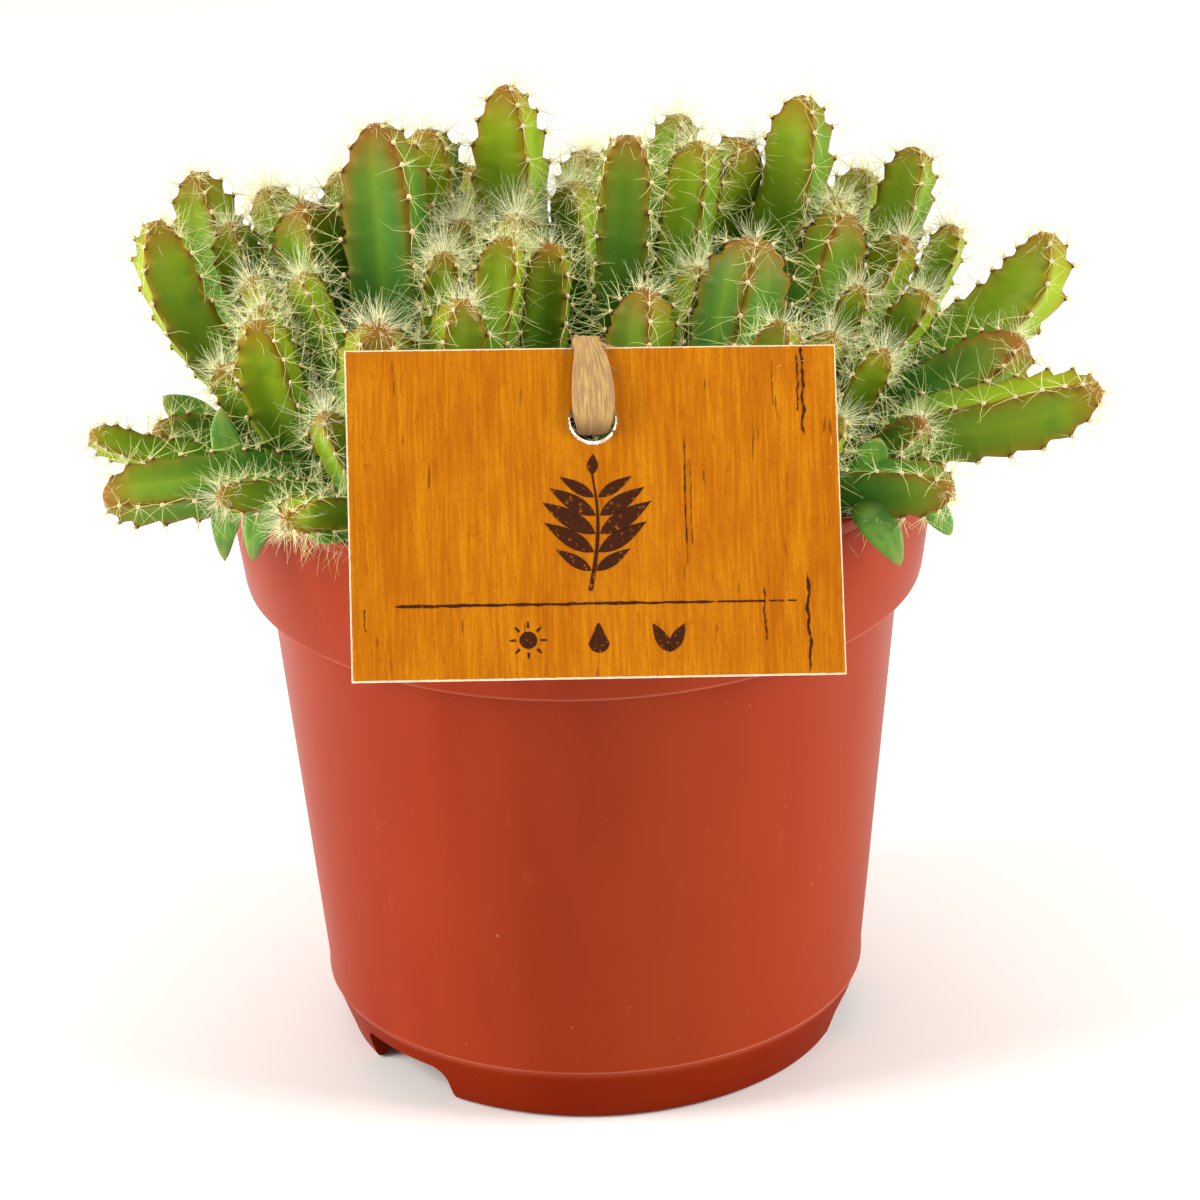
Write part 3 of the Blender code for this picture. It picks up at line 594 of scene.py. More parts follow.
def cardBack():
    made, tree, shader = newFinish("cardBack", 0.8, 0.2)
    fibre = noiseOn(tree, objectPlace(tree), 900.0, 4.0)
    painted(tree, shader, mixed(tree, fibre, (0.55, 0.47, 0.36), (0.70, 0.62, 0.50)))
    raised(tree, shader, fibre, 0.04, 0.5)
    return made


def inkFinish():
    made, tree, shader = newFinish("printInk", 0.6, 0.08)
    worn = noiseOn(tree, objectPlace(tree), 1300.0, 3.0)
    thin = between(tree, worn, 0.58, 0.70, 0.0, 0.8)
    painted(tree, shader, mixed(tree, thin, (0.046, 0.011, 0.003), (0.30, 0.085, 0.004)))
    return made


def makeCard(core):
    c = card
    bm = bmesh.new()
    bmesh.ops.create_grid(bm, x_segments=c["cells"][0], y_segments=c["cells"][1], size=1.0)
    for vert in bm.verts:
        vert.co = (vert.co.x * c["wide"] / 2, 0.0, vert.co.y * c["tall"] / 2)
    # the hole is a round gap: the nearest points of the grid are drawn onto its edge
    hub = Vector((0.0, 0.0, c["holeUp"]))
    inside = [v for v in bm.verts if (v.co - hub).length < c["hole"] - 0.35]
    bmesh.ops.delete(bm, geom=inside, context="VERTS")
    for edge in [e for e in bm.edges if e.is_boundary]:
        for vert in edge.verts:
            reach = vert.co - hub
            if reach.length < c["hole"] + 1.6:
                vert.co = hub + reach * (c["hole"] / reach.length)
    made = bmesh.ops.extrude_face_region(bm, geom=list(bm.faces))["geom"]
    back = [v for v in made if isinstance(v, bmesh.types.BMVert)]
    bmesh.ops.translate(bm, vec=(0.0, c["thick"], 0.0), verts=back)
    bmesh.ops.translate(bm, vec=(0.0, -c["thick"] / 2, 0.0), verts=bm.verts)
    bmesh.ops.recalc_face_normals(bm, faces=bm.faces)
    layer = bm.loops.layers.uv.new("print")
    for face in bm.faces:
        face.material_index = 0 if face.normal.y < -0.5 else 2 if face.normal.y > 0.5 else 1
        for loop in face.loops:
            loop[layer].uv = (loop.vert.co.x, loop.vert.co.z)
    for vert, place in zip(bm.verts, inScene(onCard(*np.array([v.co for v in bm.verts]).T))):
        vert.co = place
    asPiece("cardBoard", bm, [woodPrint(), core, cardBack()], ["Card"], smooth=False)


def towardsFront(faces):
    front = Vector(-cardAxes()[:, 1])
    for face in faces:
        face.normal_update()
        if face.normal.dot(front) < 0:
            face.normal_flip()


def leafOutline(root, tip, width):
    root, tip = np.array(root, float), np.array(tip, float)
    run = tip - root
    side = unit([-run[1], run[0]])
    t = np.linspace(0.0, 1.0, 12)
    half = width / 2 * np.sin(np.pi * t**0.8)
    left = root + run * t[:, None] + side * half[:, None]
    right = root + run * t[:, None] - side * half[:, None]
    return np.concatenate([left, right[::-1][1:-1]])


def strokeOutline(points, widths):
    points = np.array(points, float)
    travel = np.gradient(points, axis=0)
    side = unit(np.column_stack([-travel[:, 1], travel[:, 0]]))
    half = np.array(widths)[:, None] / 2
    return np.concatenate([points + side * half, (points - side * half)[::-1]])


def sprigOutlines():
    # a bowed stalk with leaves in pairs and one at its tip
    t = np.linspace(0.0, 1.0, 20)
    stalk = np.column_stack([1.6 * np.sin(2.6 * t) - 1.2, card["sprigFoot"] + 20.0 * t])
    outlines = [strokeOutline(stalk, np.interp(t, [0, 1], [0.8, 0.3]))]
    for step, reach in card["sprigLeaves"]:
        for way in (-1, 1):
            root = stalk[step] + np.array([way * 0.35, 0.3])
            outlines.append(leafOutline(root, root + np.array([way * reach, 0.62 * reach]), 0.34 * reach))
    outlines.append(leafOutline(stalk[-1], stalk[-1] + np.array([0.3, 3.6]), 1.9))
    return outlines


def ruleOutlines(chance):
    # a line drawn by a dry brush
    outlines = []
    for start, end, thick in card["ruleRuns"]:
        x = np.linspace(start, end, 48)
        y = card["ruleUp"] + 0.08 * np.array([chance.uniform(-1, 1) for _ in x])
        wide = thick * np.array([chance.uniform(0.55, 1.1) for _ in x])
        wide[0] = wide[-1] = 0.08
        outlines.append(strokeOutline(np.column_stack([x, y]), wide))
    return outlines


def signOutlines():
    # three small care signs: sun, drop and a pair of leaves
    up, aside = card["signsUp"], card["signsApart"]
    turn = np.linspace(0.0, math.tau, 25)[:-1]
    outlines = [np.column_stack([-aside + 1.5 * np.cos(turn), up + 1.5 * np.sin(turn)])]
    for ray in range(8):
        way = np.array([math.cos(ray * math.tau / 8), math.sin(ray * math.tau / 8)])
        line = [np.array([-aside, up]) + way * reach for reach in (2.1, 2.6, 3.2)]
        outlines.append(strokeOutline(line, [0.45, 0.4, 0.2]))
    rise = np.sin(turn)
    across = 1.75 * np.cos(turn) * np.where(rise > 0, 1.0 - 0.55 * rise, 1.0)
    upward = np.where(rise > 0, 3.4 * np.abs(rise) ** 1.4, 1.75 * rise)
    outlines.append(np.column_stack([across, up - 0.6 + upward]))
    for way in (-1, 1):
        outlines.append(leafOutline((aside, up - 2.4), (aside + way * 2.8, up + 2.6), 2.2))
    return outlines


def crackOutlines(chance):
    # dark drying cracks of the printed boards
    outlines = []
    for across, high, low, thick, sway in card["cracks"]:
        z = np.linspace(high, low, 26)
        drift, x = 0.0, []
        for _ in z:
            drift = 0.75 * drift + chance.uniform(-sway, sway)
            x.append(across + drift)
        wide = thick * np.array([chance.uniform(0.25, 1.25) for _ in z])
        wide[0] = wide[-1] = 0.04
        outlines.append(strokeOutline(np.column_stack([x, z]), wide))
    return outlines


def makePrint():
    chance = random.Random(card["printSeed"])
    proud = -card["thick"] / 2 - card["ink"]
    bm = bmesh.new()
    for outline in sprigOutlines() + ruleOutlines(chance) + signOutlines() + crackOutlines(chance):
        spots = inScene(onCard(outline[:, 0], proud, outline[:, 1]))
        bm.faces.new([bm.verts.new(spot) for spot in spots])
    towardsFront(bm.faces)
    bmesh.ops.triangulate(bm, faces=bm.faces)
    asPiece("cardPrint", bm, [inkFinish()], smooth=False)


def makeTornRim(core):
    # the paper torn up along the lower edge of the hole
    c = card
    chance = random.Random(c["rimSeed"])
    turns = np.radians(np.linspace(176.0, 366.0, 44))
    deep = 0.10 + 0.34 * np.maximum(0.0, -np.sin(turns)) ** 1.3
    torn = deep + np.array([chance.uniform(-0.08, 0.14) for _ in turns])
    bm = bmesh.new()
    for reach, lift in ((c["hole"] - 0.1, 0.35), (c["hole"] + torn, 0.05)):
        spots = onCard(reach * np.cos(turns), -c["thick"] / 2 - lift, c["holeUp"] + reach * np.sin(turns))
        verts = [bm.verts.new(spot) for spot in inScene(spots)]
        for pair in zip(verts, verts[1:]):
            bm.edges.new(pair)
    bmesh.ops.bridge_loops(bm, edges=bm.edges)
    towardsFront(bm.faces)
    asPiece("tornRim", bm, [core])


paper = paperCore()
makeCard(paper)
makePrint()
makeTornRim(paper)
print("card ready")

# stems by their number, in millimetres and degrees: ribs, width, turn of the ribs, foot,
# three points that shape the stem, hair and redness
stems = {
    1: (4, 14.2, 26, (-8.5, 16), (-9.5, 17, 132), (-11.5, 19, 153), (-11.5, 22, 174), 0.15, 0.6),
    2: (4, 14.0, 20, (33, 22), (35, 23, 132), (40.5, 26, 150), (42, 30, 167.5), 0.15, 0.5),
    3: (4, 16.8, 30, (-32.5, 2), (-32.5, 3, 132), (-32.7, 5, 152), (-34.5, 8, 172.5), 0.2, 0.75),
    4: (5, 12.6, 20, (-27.5, 20), (-27.5, 20, 130), (-26.5, 21, 148), (-25.5, 22, 166), 0.3, 0.4),
    5: (4, 11.6, 45, (6, 0), (7, 0, 131), (8, 1, 151), (10, 2, 171), 0.25, 0.5),
    6: (4, 8.6, 0, (11, 36), (12, 36, 128), (16.3, 38, 145), (20.3, 40, 161), 0.95, 0.3),
    7: (4, 10.0, 20, (17, 16), (18, 16, 129), (20, 18, 146), (23, 20, 163), 0.6, 0.45),
    8: (4, 12.8, 60, (25.5, 34), (25.5, 33, 128), (25, 31, 145), (32, 27, 160), 0.5, 0.5),
    9: (4, 10.6, 10, (43, 34), (44, 35, 124), (49, 38, 137), (54, 42, 148.5), 0.85, 0.3),
    10: (4, 10.4, 15, (48, 23), (51, 24, 128), (60, 28, 140), (62.5, 34, 155.5), 0.35, 0.4),
    11: (4, 11.5, 67, (38, 8), (39, 8, 125), (44, 10, 138), (49, 12, 151.5), 0.25, 0.85),
    12: (4, 8.2, 30, (40.5, 20), (41.5, 20, 125), (46, 20.5, 138), (47.5, 21.5, 151), 0.6, 0.4),
    13: (4, 15.2, 85, (24, -16), (25, -16, 127), (28, -15, 142), (32, -14, 157), 0.3, 0.6),
    14: (4, 7.4, 0, (14, -8), (15, -8, 124), (18, -7, 137), (22, -6, 149), 0.85, 0.3),
    15: (4, 11.4, 12, (8, -30), (9, -30, 126), (10, -31, 141), (12, -32, 155), 0.25, 0.6),
    16: (4, 10.4, 38, (-7.5, -14), (-7.5, -14, 127), (-5.5, -13, 141), (-4.5, -12, 156.5), 0.35, 0.5),
    17: (4, 9.6, 30, (-18, -20), (-17, -20, 127), (-15, -18, 143), (-12, -16, 159.5), 0.35, 0.65),
    18: (4, 10.8, 62, (-23.5, -34), (-23.5, -34, 126), (-21.5, -34, 141), (-19.5, -34, 155), 0.45, 0.55),
    19: (5, 13.4, 15, (-36, -31), (-36, -31, 125), (-35.5, -34, 139), (-34, -37, 152), 0.9, 0.6),
    20: (4, 9.6, 25, (25.5, -36), (26.5, -36, 124), (31.5, -36, 137), (35.5, -36, 150), 0.25, 0.75),
    21: (4, 12.0, 37, (-46, -20), (-46.5, -20, 124), (-52.7, -21, 121), (-55.7, -27, 149), 0.25, 0.4),
    22: (4, 6.8, 5, (-46, -8), (-47, -8, 123), (-52.5, -9, 134), (-55.8, -10, 145.5), 0.7, 0.5),
    23: (4, 12.8, 63, (-55, 6), (-57, 6, 127), (-72, 5, 128), (-74.5, 6, 156), 0.25, 0.45),
    24: (4, 12.0, 20, (-49, 25), (-51, 25, 124), (-65, 25, 127), (-68, 22, 159), 0.35, 0.6),
    25: (5, 11.0, 0, (-45, 34), (-46, 34, 124), (-52, 36, 138), (-56.5, 37, 150.2), 0.95, 0.2),
    26: (4, 12.6, 7, (-42, 13), (-43, 13, 127), (-47, 11, 143), (-48, 7, 158), 0.35, 0.5),
    27: (4, 8.6, 18, (-49, 15), (-51, 15, 123), (-58.8, 15, 131), (-61.6, 12, 153), 0.45, 0.5),
    28: (5, 9.4, 12, (-22, 6), (-22, 6, 126), (-21, 7, 140), (-20, 8, 154), 1, 0.4),
    29: (4, 8.4, 40, (-26, -8), (-26, -8, 126), (-24, -8, 140), (-23, -8, 154), 0.9, 0.5),
    30: (4, 9.0, 0, (-12, 0), (-12, 0, 127), (-11, 1, 142), (-10, 2, 157), 1, 0.4),
    31: (4, 7.1, 22, (-48, 2), (-49, 2, 124), (-53, 1, 136), (-58, 0, 147), 0.65, 0.6),
    32: (4, 6.7, 8, (-39, -10), (-40, -10, 125), (-44, -8, 138), (-49, -6, 150), 0.75, 0.4),
    33: (4, 7.4, 30, (-52, -10), (-53, -10, 124), (-60, -11, 125), (-63, -14, 136), 0.6, 0.6),
    34: (4, 10.4, 10, (4, 18), (4, 18, 126), (1.5, 19, 141), (-0.6, 20, 156), 1, 0.3),
    35: (4, 7.5, 0, (-35.5, -40.5), (-36, -41, 121), (-42, -44, 131), (-44, -44, 139), 0.85, 0.8),
    36: (4, 6.7, 10, (-53, -16), (-55, -17, 123.5), (-68, -21.5, 116.8), (-86, -24, 128), 0.45, 0.6),
    37: (4, 8.6, 30, (-55, -3), (-57, -6, 122), (-67, -14, 120), (-75.5, -15.5, 125), 0.3, 0.6),
    38: (4, 11.4, 20, (-46, -30), (-48, -31, 124), (-61, -34, 121.5), (-83, -41, 122.8), 0.35, 0.5),
    39: (4, 7.6, 0, (-41, -37), (-43, -38, 123), (-53, -43, 123), (-63, -47, 125), 0.6, 0.5),
    40: (4, 7.5, 15, (-37, -46), (-38.5, -47.5, 123.8), (-45, -56, 126), (-51, -62, 126.5), 0.55, 0.9),
    41: (4, 14.2, 9, (54, 11), (60, 11, 127.5), (83.5, 11, 126), (84.6, 12, 146.5), 0.35, 0.4),
    42: (4, 13.1, 78, (54, -5), (55, -6, 124), (68, -8, 121), (78.5, -11, 135.5), 0.35, 0.95),
    43: (4, 13.6, 30, (53, -18), (54, -18, 126.5), (69, -22, 119.5), (91, -29, 132.8), 0.4, 0.4),
    44: (4, 10.4, 10, (40, -36), (41, -37, 123), (51, -42, 120), (64, -49, 123), 0.5, 0.6),
    45: (4, 9.6, 20, (32, -45), (33, -45, 120), (39, -46, 129), (45, -43, 135), 0.55, 0.6),
    46: (4, 8.4, 0, (45, 13), (47, 14, 123), (54, 15, 135), (60, 16, 145), 0.75, 0.9),
    47: (4, 8.0, 25, (54.5, 18), (56, 18.5, 121), (66, 26, 131), (69, 28, 142.5), 0.85, 0.4),
    48: (4, 8.2, 12, (48, 3), (50, 3, 121), (57, 3, 131), (63.2, 4, 138.8), 0.5, 0.7),
    49: (4, 7.1, 30, (41, -2), (43, -2, 122), (46, -1, 132), (51, 0, 142), 0.6, 0.6),
    50: (4, 7.7, 8, (36, -20), (37, -20, 122), (40, -21, 133), (45, -22, 142), 0.7, 0.9),
    51: (4, 7.7, 40, (44, -22), (45, -22, 121), (48, -23, 131), (54, -23, 139), 0.65, 0.5),
    52: (4, 7.3, 0, (46, -30), (48, -30, 118), (54.5, -32, 124), (60, -34, 130), 0.5, 1.0),
    53: (4, 10.0, 20, (-20, 44), (-20, 44, 125), (-19, 45, 137), (-19, 46, 150), 0.9, 0.2),
    54: (4, 10.0, 15, (-34, 40), (-35, 40, 125), (-39, 40, 139), (-43, 40, 152), 0.7, 0.3),
    55: (4, 9.6, 0, (-2, 49), (-1, 49, 125), (1, 50, 138), (3, 50, 151), 0.9, 0.3),
    56: (4, 10.4, 30, (26, 47), (27, 48, 122), (33, 50, 133), (38, 51, 143), 0.85, 0.3),
}

# seed leaves: root, middle, tip, width, and the way the broad face looks
seedLeaves = {
    37: [((-62, -8.5, 120.5), (-69, -7, 123), (-74, -8, 128), 6.5, (-0.2, -1.0, 0.4))],
    38: [
        ((-58, -32.5, 122.5), (-62.5, -31, 126), (-62.3, -31, 135), 5.6, (-0.2, -1.0, 0.2)),
        ((-58, -35, 121), (-62.5, -41, 124), (-62.4, -42, 110.5), 5.6, (-0.2, -1.0, 0.6)),
    ],
    39: [((-49.5, -41.5, 121.5), (-56.5, -49, 126), (-57, -49.5, 113.5), 5.6, (-0.2, -1.0, 0.6))],
    40: [((-40, -49, 119.5), (-42, -53.5, 120.5), (-47, -54, 119.8), 5.0, (-0.1, -0.7, 1.0))],
    44: [
        ((47, -43, 117.6), (50, -49, 121.2), (54.6, -50.5, 109.5), 7.0, (0.2, -1.0, 0.6)),
        ((57, -46, 120.5), (61.5, -47.5, 119), (63.4, -47, 113.5), 4.5, (0.3, -1.0, 0.3)),
        ((47.5, -40, 121), (50.5, -39, 125), (51.8, -38, 128.5), 6.0, (0.2, -1.0, 0.2)),
    ],
}

stemForm = {
    "gap": 0.3,  # left free between a stem and what presses it
    "perRib": 8,  # columns of the skin between one crest and the next
    "ringEvery": 0.5,
    "rootDeep": 2.0,
    "widthToCrest": 1.9,
    "rootShare": 0.46,
    "neckShare": 0.35,
    "domeShare": 0.62,  # length of the rounded tip, as a share of the width
    "domePower": 2.0,
    "dent": 0.15,  # how hollow the faces are between crests
    "crestRound": 0.07,
    "footLong": 7.0,  # rounder over this length above the soil
    "toothPitch": 4.9,
    "crowdLong": 13.0,  # teeth crowd together over this length below the tip
    "toothLong": 0.86,  # share of a tooth that rises, before it falls to the next
    "toothHeight": 0.15,
    "toothStep": 0.8,  # how far a tooth near the tip keeps one girth, then steps in to the next
    "areoleAt": 0.84,  # share of its tooth below each areole
    "bareFoot": 2.5,
    "bareTip": 0.25,
    "tipLong": 9.0,  # the last part, with shorter needles and smaller cushions
    "spinesEach": 6,
    "spineLong": (3.5, 9.5),
    "spineThick": 0.058,
    "tuftHairs": (24, 160),  # on every tip, and so many more on the hairiest
    "tuftLong": (3.0, 9.0),
    "hairThick": 0.023,
    "seed": 20,
}

# material slots of a stem, whose skin is 0
slots = {"felt": 1, "scale": 2, "needle": 3, "leaf": 4, "hair": 5}

# pale cushion of an areole and the dark scale below it: lift, shift along the stem and shape
cushions = {"felt": (-0.02, 0.15, (0.85, 1.0, 0.65)), "scale": (-0.12, -0.45, (1.0, 0.7, 0.5))}

# tips that taper over more than the usual share of the width
slimTips = {1: 1.05, 2: 0.85, 3: 0.8, 23: 0.85, 24: 0.85, 41: 0.9, 43: 0.9}

# stems whose faces are a deeper green, from 0 to 1, or a paler one, below 0; partly their own green,
# partly painted light and shade for stems that lie lit or shaded
darkStems = {
    3: 0.95, 4: -0.5, 5: 0.4, 13: 0.95, 15: 0.4, 16: 0.35, 19: 0.4,
    21: -0.2, 23: -0.5, 26: 0.4, 37: 0.9, 38: 0.5, 41: -0.3, 43: -0.6, 44: 0.6, 52: 0.8,
}

# caps of hair that are thicker than the rest
shaggy = {25: 2.0, 28: 1.3, 30: 1.3, 55: 1.3}


def bowed(foot, rise, bend, tip, steps=32):
    # the stem's axis, how far along it each place is, and its cross directions
    control = np.array([(*foot, soil["up"]), rise, bend, tip], float)
    t = np.linspace(0.0, 1.0, steps + 1)[:, None]
    path = (1 - t) ** 3 * control[0] + 3 * t * (1 - t) ** 2 * control[1]
    path += 3 * t * t * (1 - t) * control[2] + t**3 * control[3]
    run = np.concatenate([[0.0], np.cumsum(np.linalg.norm(np.diff(path, axis=0), axis=1))])
    ahead = unit(np.gradient(path, axis=0))
    ahead[0] = (0.0, 0.0, 1.0)
    across = [np.array([1.0, 0.0, 0.0])]
    for direction in ahead[1:]:
        across.append(unit(across[-1] - direction * across[-1].dot(direction)))
    across = np.array(across)
    return path, run, across, np.cross(ahead, across), ahead


def girth(stem, along):
    # crest radius: a narrow neck, an even body and a rounded tip
    f = stemForm
    width, length = stems[stem][1], axes[stem][1][-1]
    along = np.clip(along, 0.0, length)
    share = np.clip(along / length / f["neckShare"], 0.0, 1.0)
    neck = f["rootShare"] + (1 - f["rootShare"]) * share * share * (3 - 2 * share)
    dome = np.clip((length - along) / (slimTips.get(stem, f["domeShare"]) * width), 0.0, 1.0)
    return width / f["widthToCrest"] * neck * (1 - (1 - dome) ** f["domePower"]) ** (1 / f["domePower"])


axes = {stem: bowed(*spec[3:7]) for stem, spec in stems.items()}
girths = {stem: girth(stem, axes[stem][1]) for stem in stems}


def pressed(share, reach, away, room):
    # points whose reach towards a neighbour is more than the room there are drawn back to it
    span = np.linalg.norm(away, axis=1)
    out = np.einsum("ijk,ik->ij", reach, away) / span[:, None]
    kept = np.where(room > 0, room, np.inf)[:, None]
    return np.minimum(share, np.where(out > kept, kept / np.maximum(out, 1e-6), 1.0))


def pressedShare(stem, centres, radii, reach):
    # how far each point keeps its reach where a neighbour, the rim or the card presses the stem flat
    gap = stemForm["gap"]
    share = np.ones(reach.shape[:2])
    rows = np.arange(len(centres))
    for other, (path, *_) in axes.items():
        if other == stem:
            continue
        away = path[None] - centres[:, None]
        distance = np.linalg.norm(away, axis=2)
        nearest = np.argmin(distance - girths[other][None], axis=1)
        part = radii / np.maximum(radii + girths[other][nearest], 1e-6)
        room = distance[rows, nearest] * part - 0.6 * gap
        share = pressed(share, reach, away[rows, nearest], room)
    rimMiddle = pot["rim"] - pot["wall"] / 2
    outward = centres[:, :2] / np.hypot(centres[:, 0], centres[:, 1])[:, None]
    rim = np.column_stack([outward * rimMiddle, np.full(len(centres), pot["rimUp"])])
    room = np.linalg.norm(rim - centres, axis=1) - pot["wall"] / 2 - 1.5 * gap
    share = pressed(share, reach, rim - centres, room)
    cardWay = cardAxes()
    local = (centres - np.array(card["place"])) @ cardWay
    aside, above = np.abs(local[:, 0]) - card["wide"] / 2, np.abs(local[:, 2]) - card["tall"] / 2
    room = np.where((aside < radii) & (above < radii), local[:, 1] - card["thick"] / 2 - gap, -1.0)
    share = pressed(share, reach, np.repeat(-cardWay[:, 1][None], len(centres), axis=0), room)
    return np.maximum(share, 0.2)


def toothKnots(stem, chance):
    # where the teeth of each crest begin, closer together towards the tip
    length = axes[stem][1][-1]
    pitch = stemForm["toothPitch"] * (0.8 + 0.03 * stems[stem][1])
    knots = []
    for _ in range(stems[stem][0]):
        spots = [-pitch * chance.random()]
        while spots[-1] < length:
            left = np.clip((length - spots[-1]) / stemForm["crowdLong"], 0.0, 1.0)
            spots.append(spots[-1] + pitch * (0.20 + 0.80 * left) * chance.uniform(0.88, 1.12))
        knots.append(np.array(spots))
    return knots


def toothAt(stem, marks, along):
    # how much of its tooth each place has passed, and the girth that the tooth keeps
    rising = stemForm["toothLong"]
    tops = np.minimum(marks[:-1] + stemForm["areoleAt"] * np.diff(marks), axes[stem][1][-1] - 0.3)
    held = girth(stem, tops)
    passed = np.interp(along, marks, np.arange(len(marks)))
    tooth = np.clip(passed.astype(int), 0, len(held) - 1)
    fallen = np.clip((passed % 1.0 - rising) / (1.0 - rising), 0.0, 1.0)
    coming = held[np.minimum(tooth + 1, len(held) - 1)]
    return passed % 1.0, held[tooth] * (1.0 - fallen) + coming * fallen


def readAlong(places, run, rows):
    return np.stack([np.interp(places, run, rows[:, k]) for k in range(3)], axis=-1)


def skinPoints(stem, knots, along, rib, t):
    # points of the skin; t runs from -1 to 1 across a rib and is 0 on its crest
    f = stemForm
    ribs, width, turn = stems[stem][:3]
    path, run, across, around, _ = axes[stem]
    flat = along[:, 0]
    centres, side, front = (readAlong(flat, run, rows) for rows in (path, across, around))
    centres[:, 2] += np.minimum(flat, 0.0)
    radii = girth(stem, flat)
    tipNear = np.clip(1.0 - (run[-1] - along) / (0.8 * width), 0.0, 1.0)
    foot = np.clip(1.0 - along / f["footLong"], 0.0, 1.0)
    # the even outline of one rib
    off = np.abs(t) ** 1.3 * math.pi / ribs
    soft = np.sqrt(off**2 + f["crestRound"] ** 2) - f["crestRound"]
    hollow = f["dent"] * np.sin(0.5 * math.pi * np.abs(t)) ** 1.3 * (1.0 - 0.5 * tipNear)
    edge = math.cos(math.pi / ribs) / np.cos(math.pi / ribs - soft) * (1.0 - hollow)
    edge = edge + (0.93 - edge) * 0.8 * foot
    # the teeth of its crest
    phase, stepped = np.zeros((2, *np.broadcast(along, rib, t).shape))
    for number, marks in enumerate(knots):
        step, level = toothAt(stem, marks, along)
        phase = np.where(rib == number, step, phase)
        stepped = np.where(rib == number, level, stepped)
    share = np.clip(stepped / np.maximum(radii, 0.05)[:, None], 0.72, 1.12)
    rising = f["toothLong"]
    saw = np.where(phase < rising, -0.5 + phase / rising, 0.5 - (phase - rising) / (1.0 - rising))
    onCrest = (1.0 - np.abs(t)) ** 3
    tooth = f["toothHeight"] * saw * onCrest * (1.0 - foot) * (1.0 - 0.4 * tipNear)
    tooth = tooth + f["toothStep"] * (share - 1.0) * onCrest * (1.0 - foot)
    angle = math.radians(turn) + (rib + signedPower(t, 1.3) / 2) * math.tau / ribs
    way = side[:, None] * np.cos(angle)[..., None] + front[:, None] * np.sin(angle)[..., None]
    reach = way * (radii[:, None] * (edge + tooth))[..., None]
    reach = reach * pressedShare(stem, centres, np.maximum(radii, 0.01), reach)[..., None]
    points = centres[:, None] + reach
    low = soil["up"] + f["gap"]
    points[..., 2] = np.where((along > 0.0) & (points[..., 2] < low), low, points[..., 2])
    return points, way, phase


def skinFinish():
    made, tree, shader = newFinish("cactusSkin", 0.5, 0.11)

    def times(first, second):
        return figured(tree, "MULTIPLY", first, second)

    place = objectPlace(tree)
    crest, height, spot = named(tree, "form")
    red, tip, deepGreenAndShade = named(tree, "tone")
    valleyHighlight = put(tree, "ShaderNodeAttribute", attribute_name="valleyHighlight").outputs["Fac"]
    patch = noiseOn(tree, place, 130.0, 3.0)
    fine = noiseOn(tree, place, 900.0, 3.0)
    speck = noiseOn(tree, place, 2300.0, 1.0)
    colour = coated(
        tree,
        mixed(tree, between(tree, height, 0.05, 0.50), (0.022, 0.104, 0.024), (0.080, 0.240, 0.015)),
        (height, 0.40, 0.95, 1.0, (0.262, 0.385, 0.009)),
        (patch, 0.42, 0.70, 0.35, (0.31, 0.43, 0.020)),
        (patch, 0.46, 0.28, 0.35, (0.045, 0.165, 0.014)),
    )
    # deeper green per stem and face: partly the stem's own, partly painted shade
    colour = mixed(tree, times(deepGreenAndShade, 0.75), colour, (0.028, 0.155, 0.026))
    # painted highlight: a paler line down the hollow of some faces
    colour = mixed(tree, times(valleyHighlight, 0.38), colour, (0.34, 0.50, 0.030))
    colour = coated(tree, colour, (speck, 0.68, 0.76, 0.18, (0.34, 0.47, 0.11)))
    # red crests, a blush below them and a rusty tip
    edge = times(between(tree, crest, 0.45, 1.0), between(tree, height, 0.35, 0.95))
    warm = figured(tree, "MULTIPLY_ADD", red, 0.60, 0.25)
    colour = mixed(tree, times(edge, warm), colour, (0.31, 0.105, 0.004))
    blush = times(red, between(tree, height, 0.70, 1.0))
    blush = times(blush, between(tree, patch, 0.35, 0.8, 0.0, 0.50))
    colour = mixed(tree, blush, colour, (0.31, 0.165, 0.005))
    rust = mixed(tree, red, (0.245, 0.100, 0.004), (0.240, 0.058, 0.008))
    colour = mixed(tree, times(tip, between(tree, patch, 0.2, 0.6, 0.60, 0.95)), colour, rust)
    colour = coated(tree, colour, (crest, 0.92, 1.0, 0.65, (0.19, 0.065, 0.010)))
    colour = mixed(tree, times(spot, 0.8), colour, (0.13, 0.045, 0.012))
    painted(tree, shader, colour, between(tree, patch, 0.3, 0.7, 0.44, 0.60))
    raised(tree, shader, fine, 0.10, 0.6)
    return made


def plainFinish(name, first, second, scale, roughness, bump, glow=0.0):
    made, tree, shader = newFinish(name, roughness, 0.3)
    if glow:  # painted glow: a faint emission stands in for the light that thin hair passes on, which keeps it pale among the stems
        shader.inputs["Emission Color"].default_value = (*second, 1.0)
        shader.inputs["Emission Strength"].default_value = glow
    grain = noiseOn(tree, objectPlace(tree), scale, 3.0)
    painted(tree, shader, mixed(tree, between(tree, grain, 0.35, 0.65), first, second))
    raised(tree, shader, grain, bump, 0.5)
    return made


def leafFinish():
    made, tree, shader = newFinish("seedLeaf", 0.42, 0.45)
    place = objectPlace(tree)
    tip, vein, _ = named(tree, "form")
    patch = noiseOn(tree, place, 260.0, 3.0)
    colour = coated(
        tree,
        mixed(tree, between(tree, patch, 0.35, 0.7), (0.075, 0.215, 0.020), (0.16, 0.34, 0.028)),
        (vein, 0.6, 1.0, 0.4, (0.20, 0.36, 0.07)),
        (tip, 0.80, 1.0, 0.6, (0.24, 0.20, 0.04)),
    )
    painted(tree, shader, colour)
    raised(tree, shader, noiseOn(tree, place, 1200.0, 2.0), 0.06, 0.5)
    return made


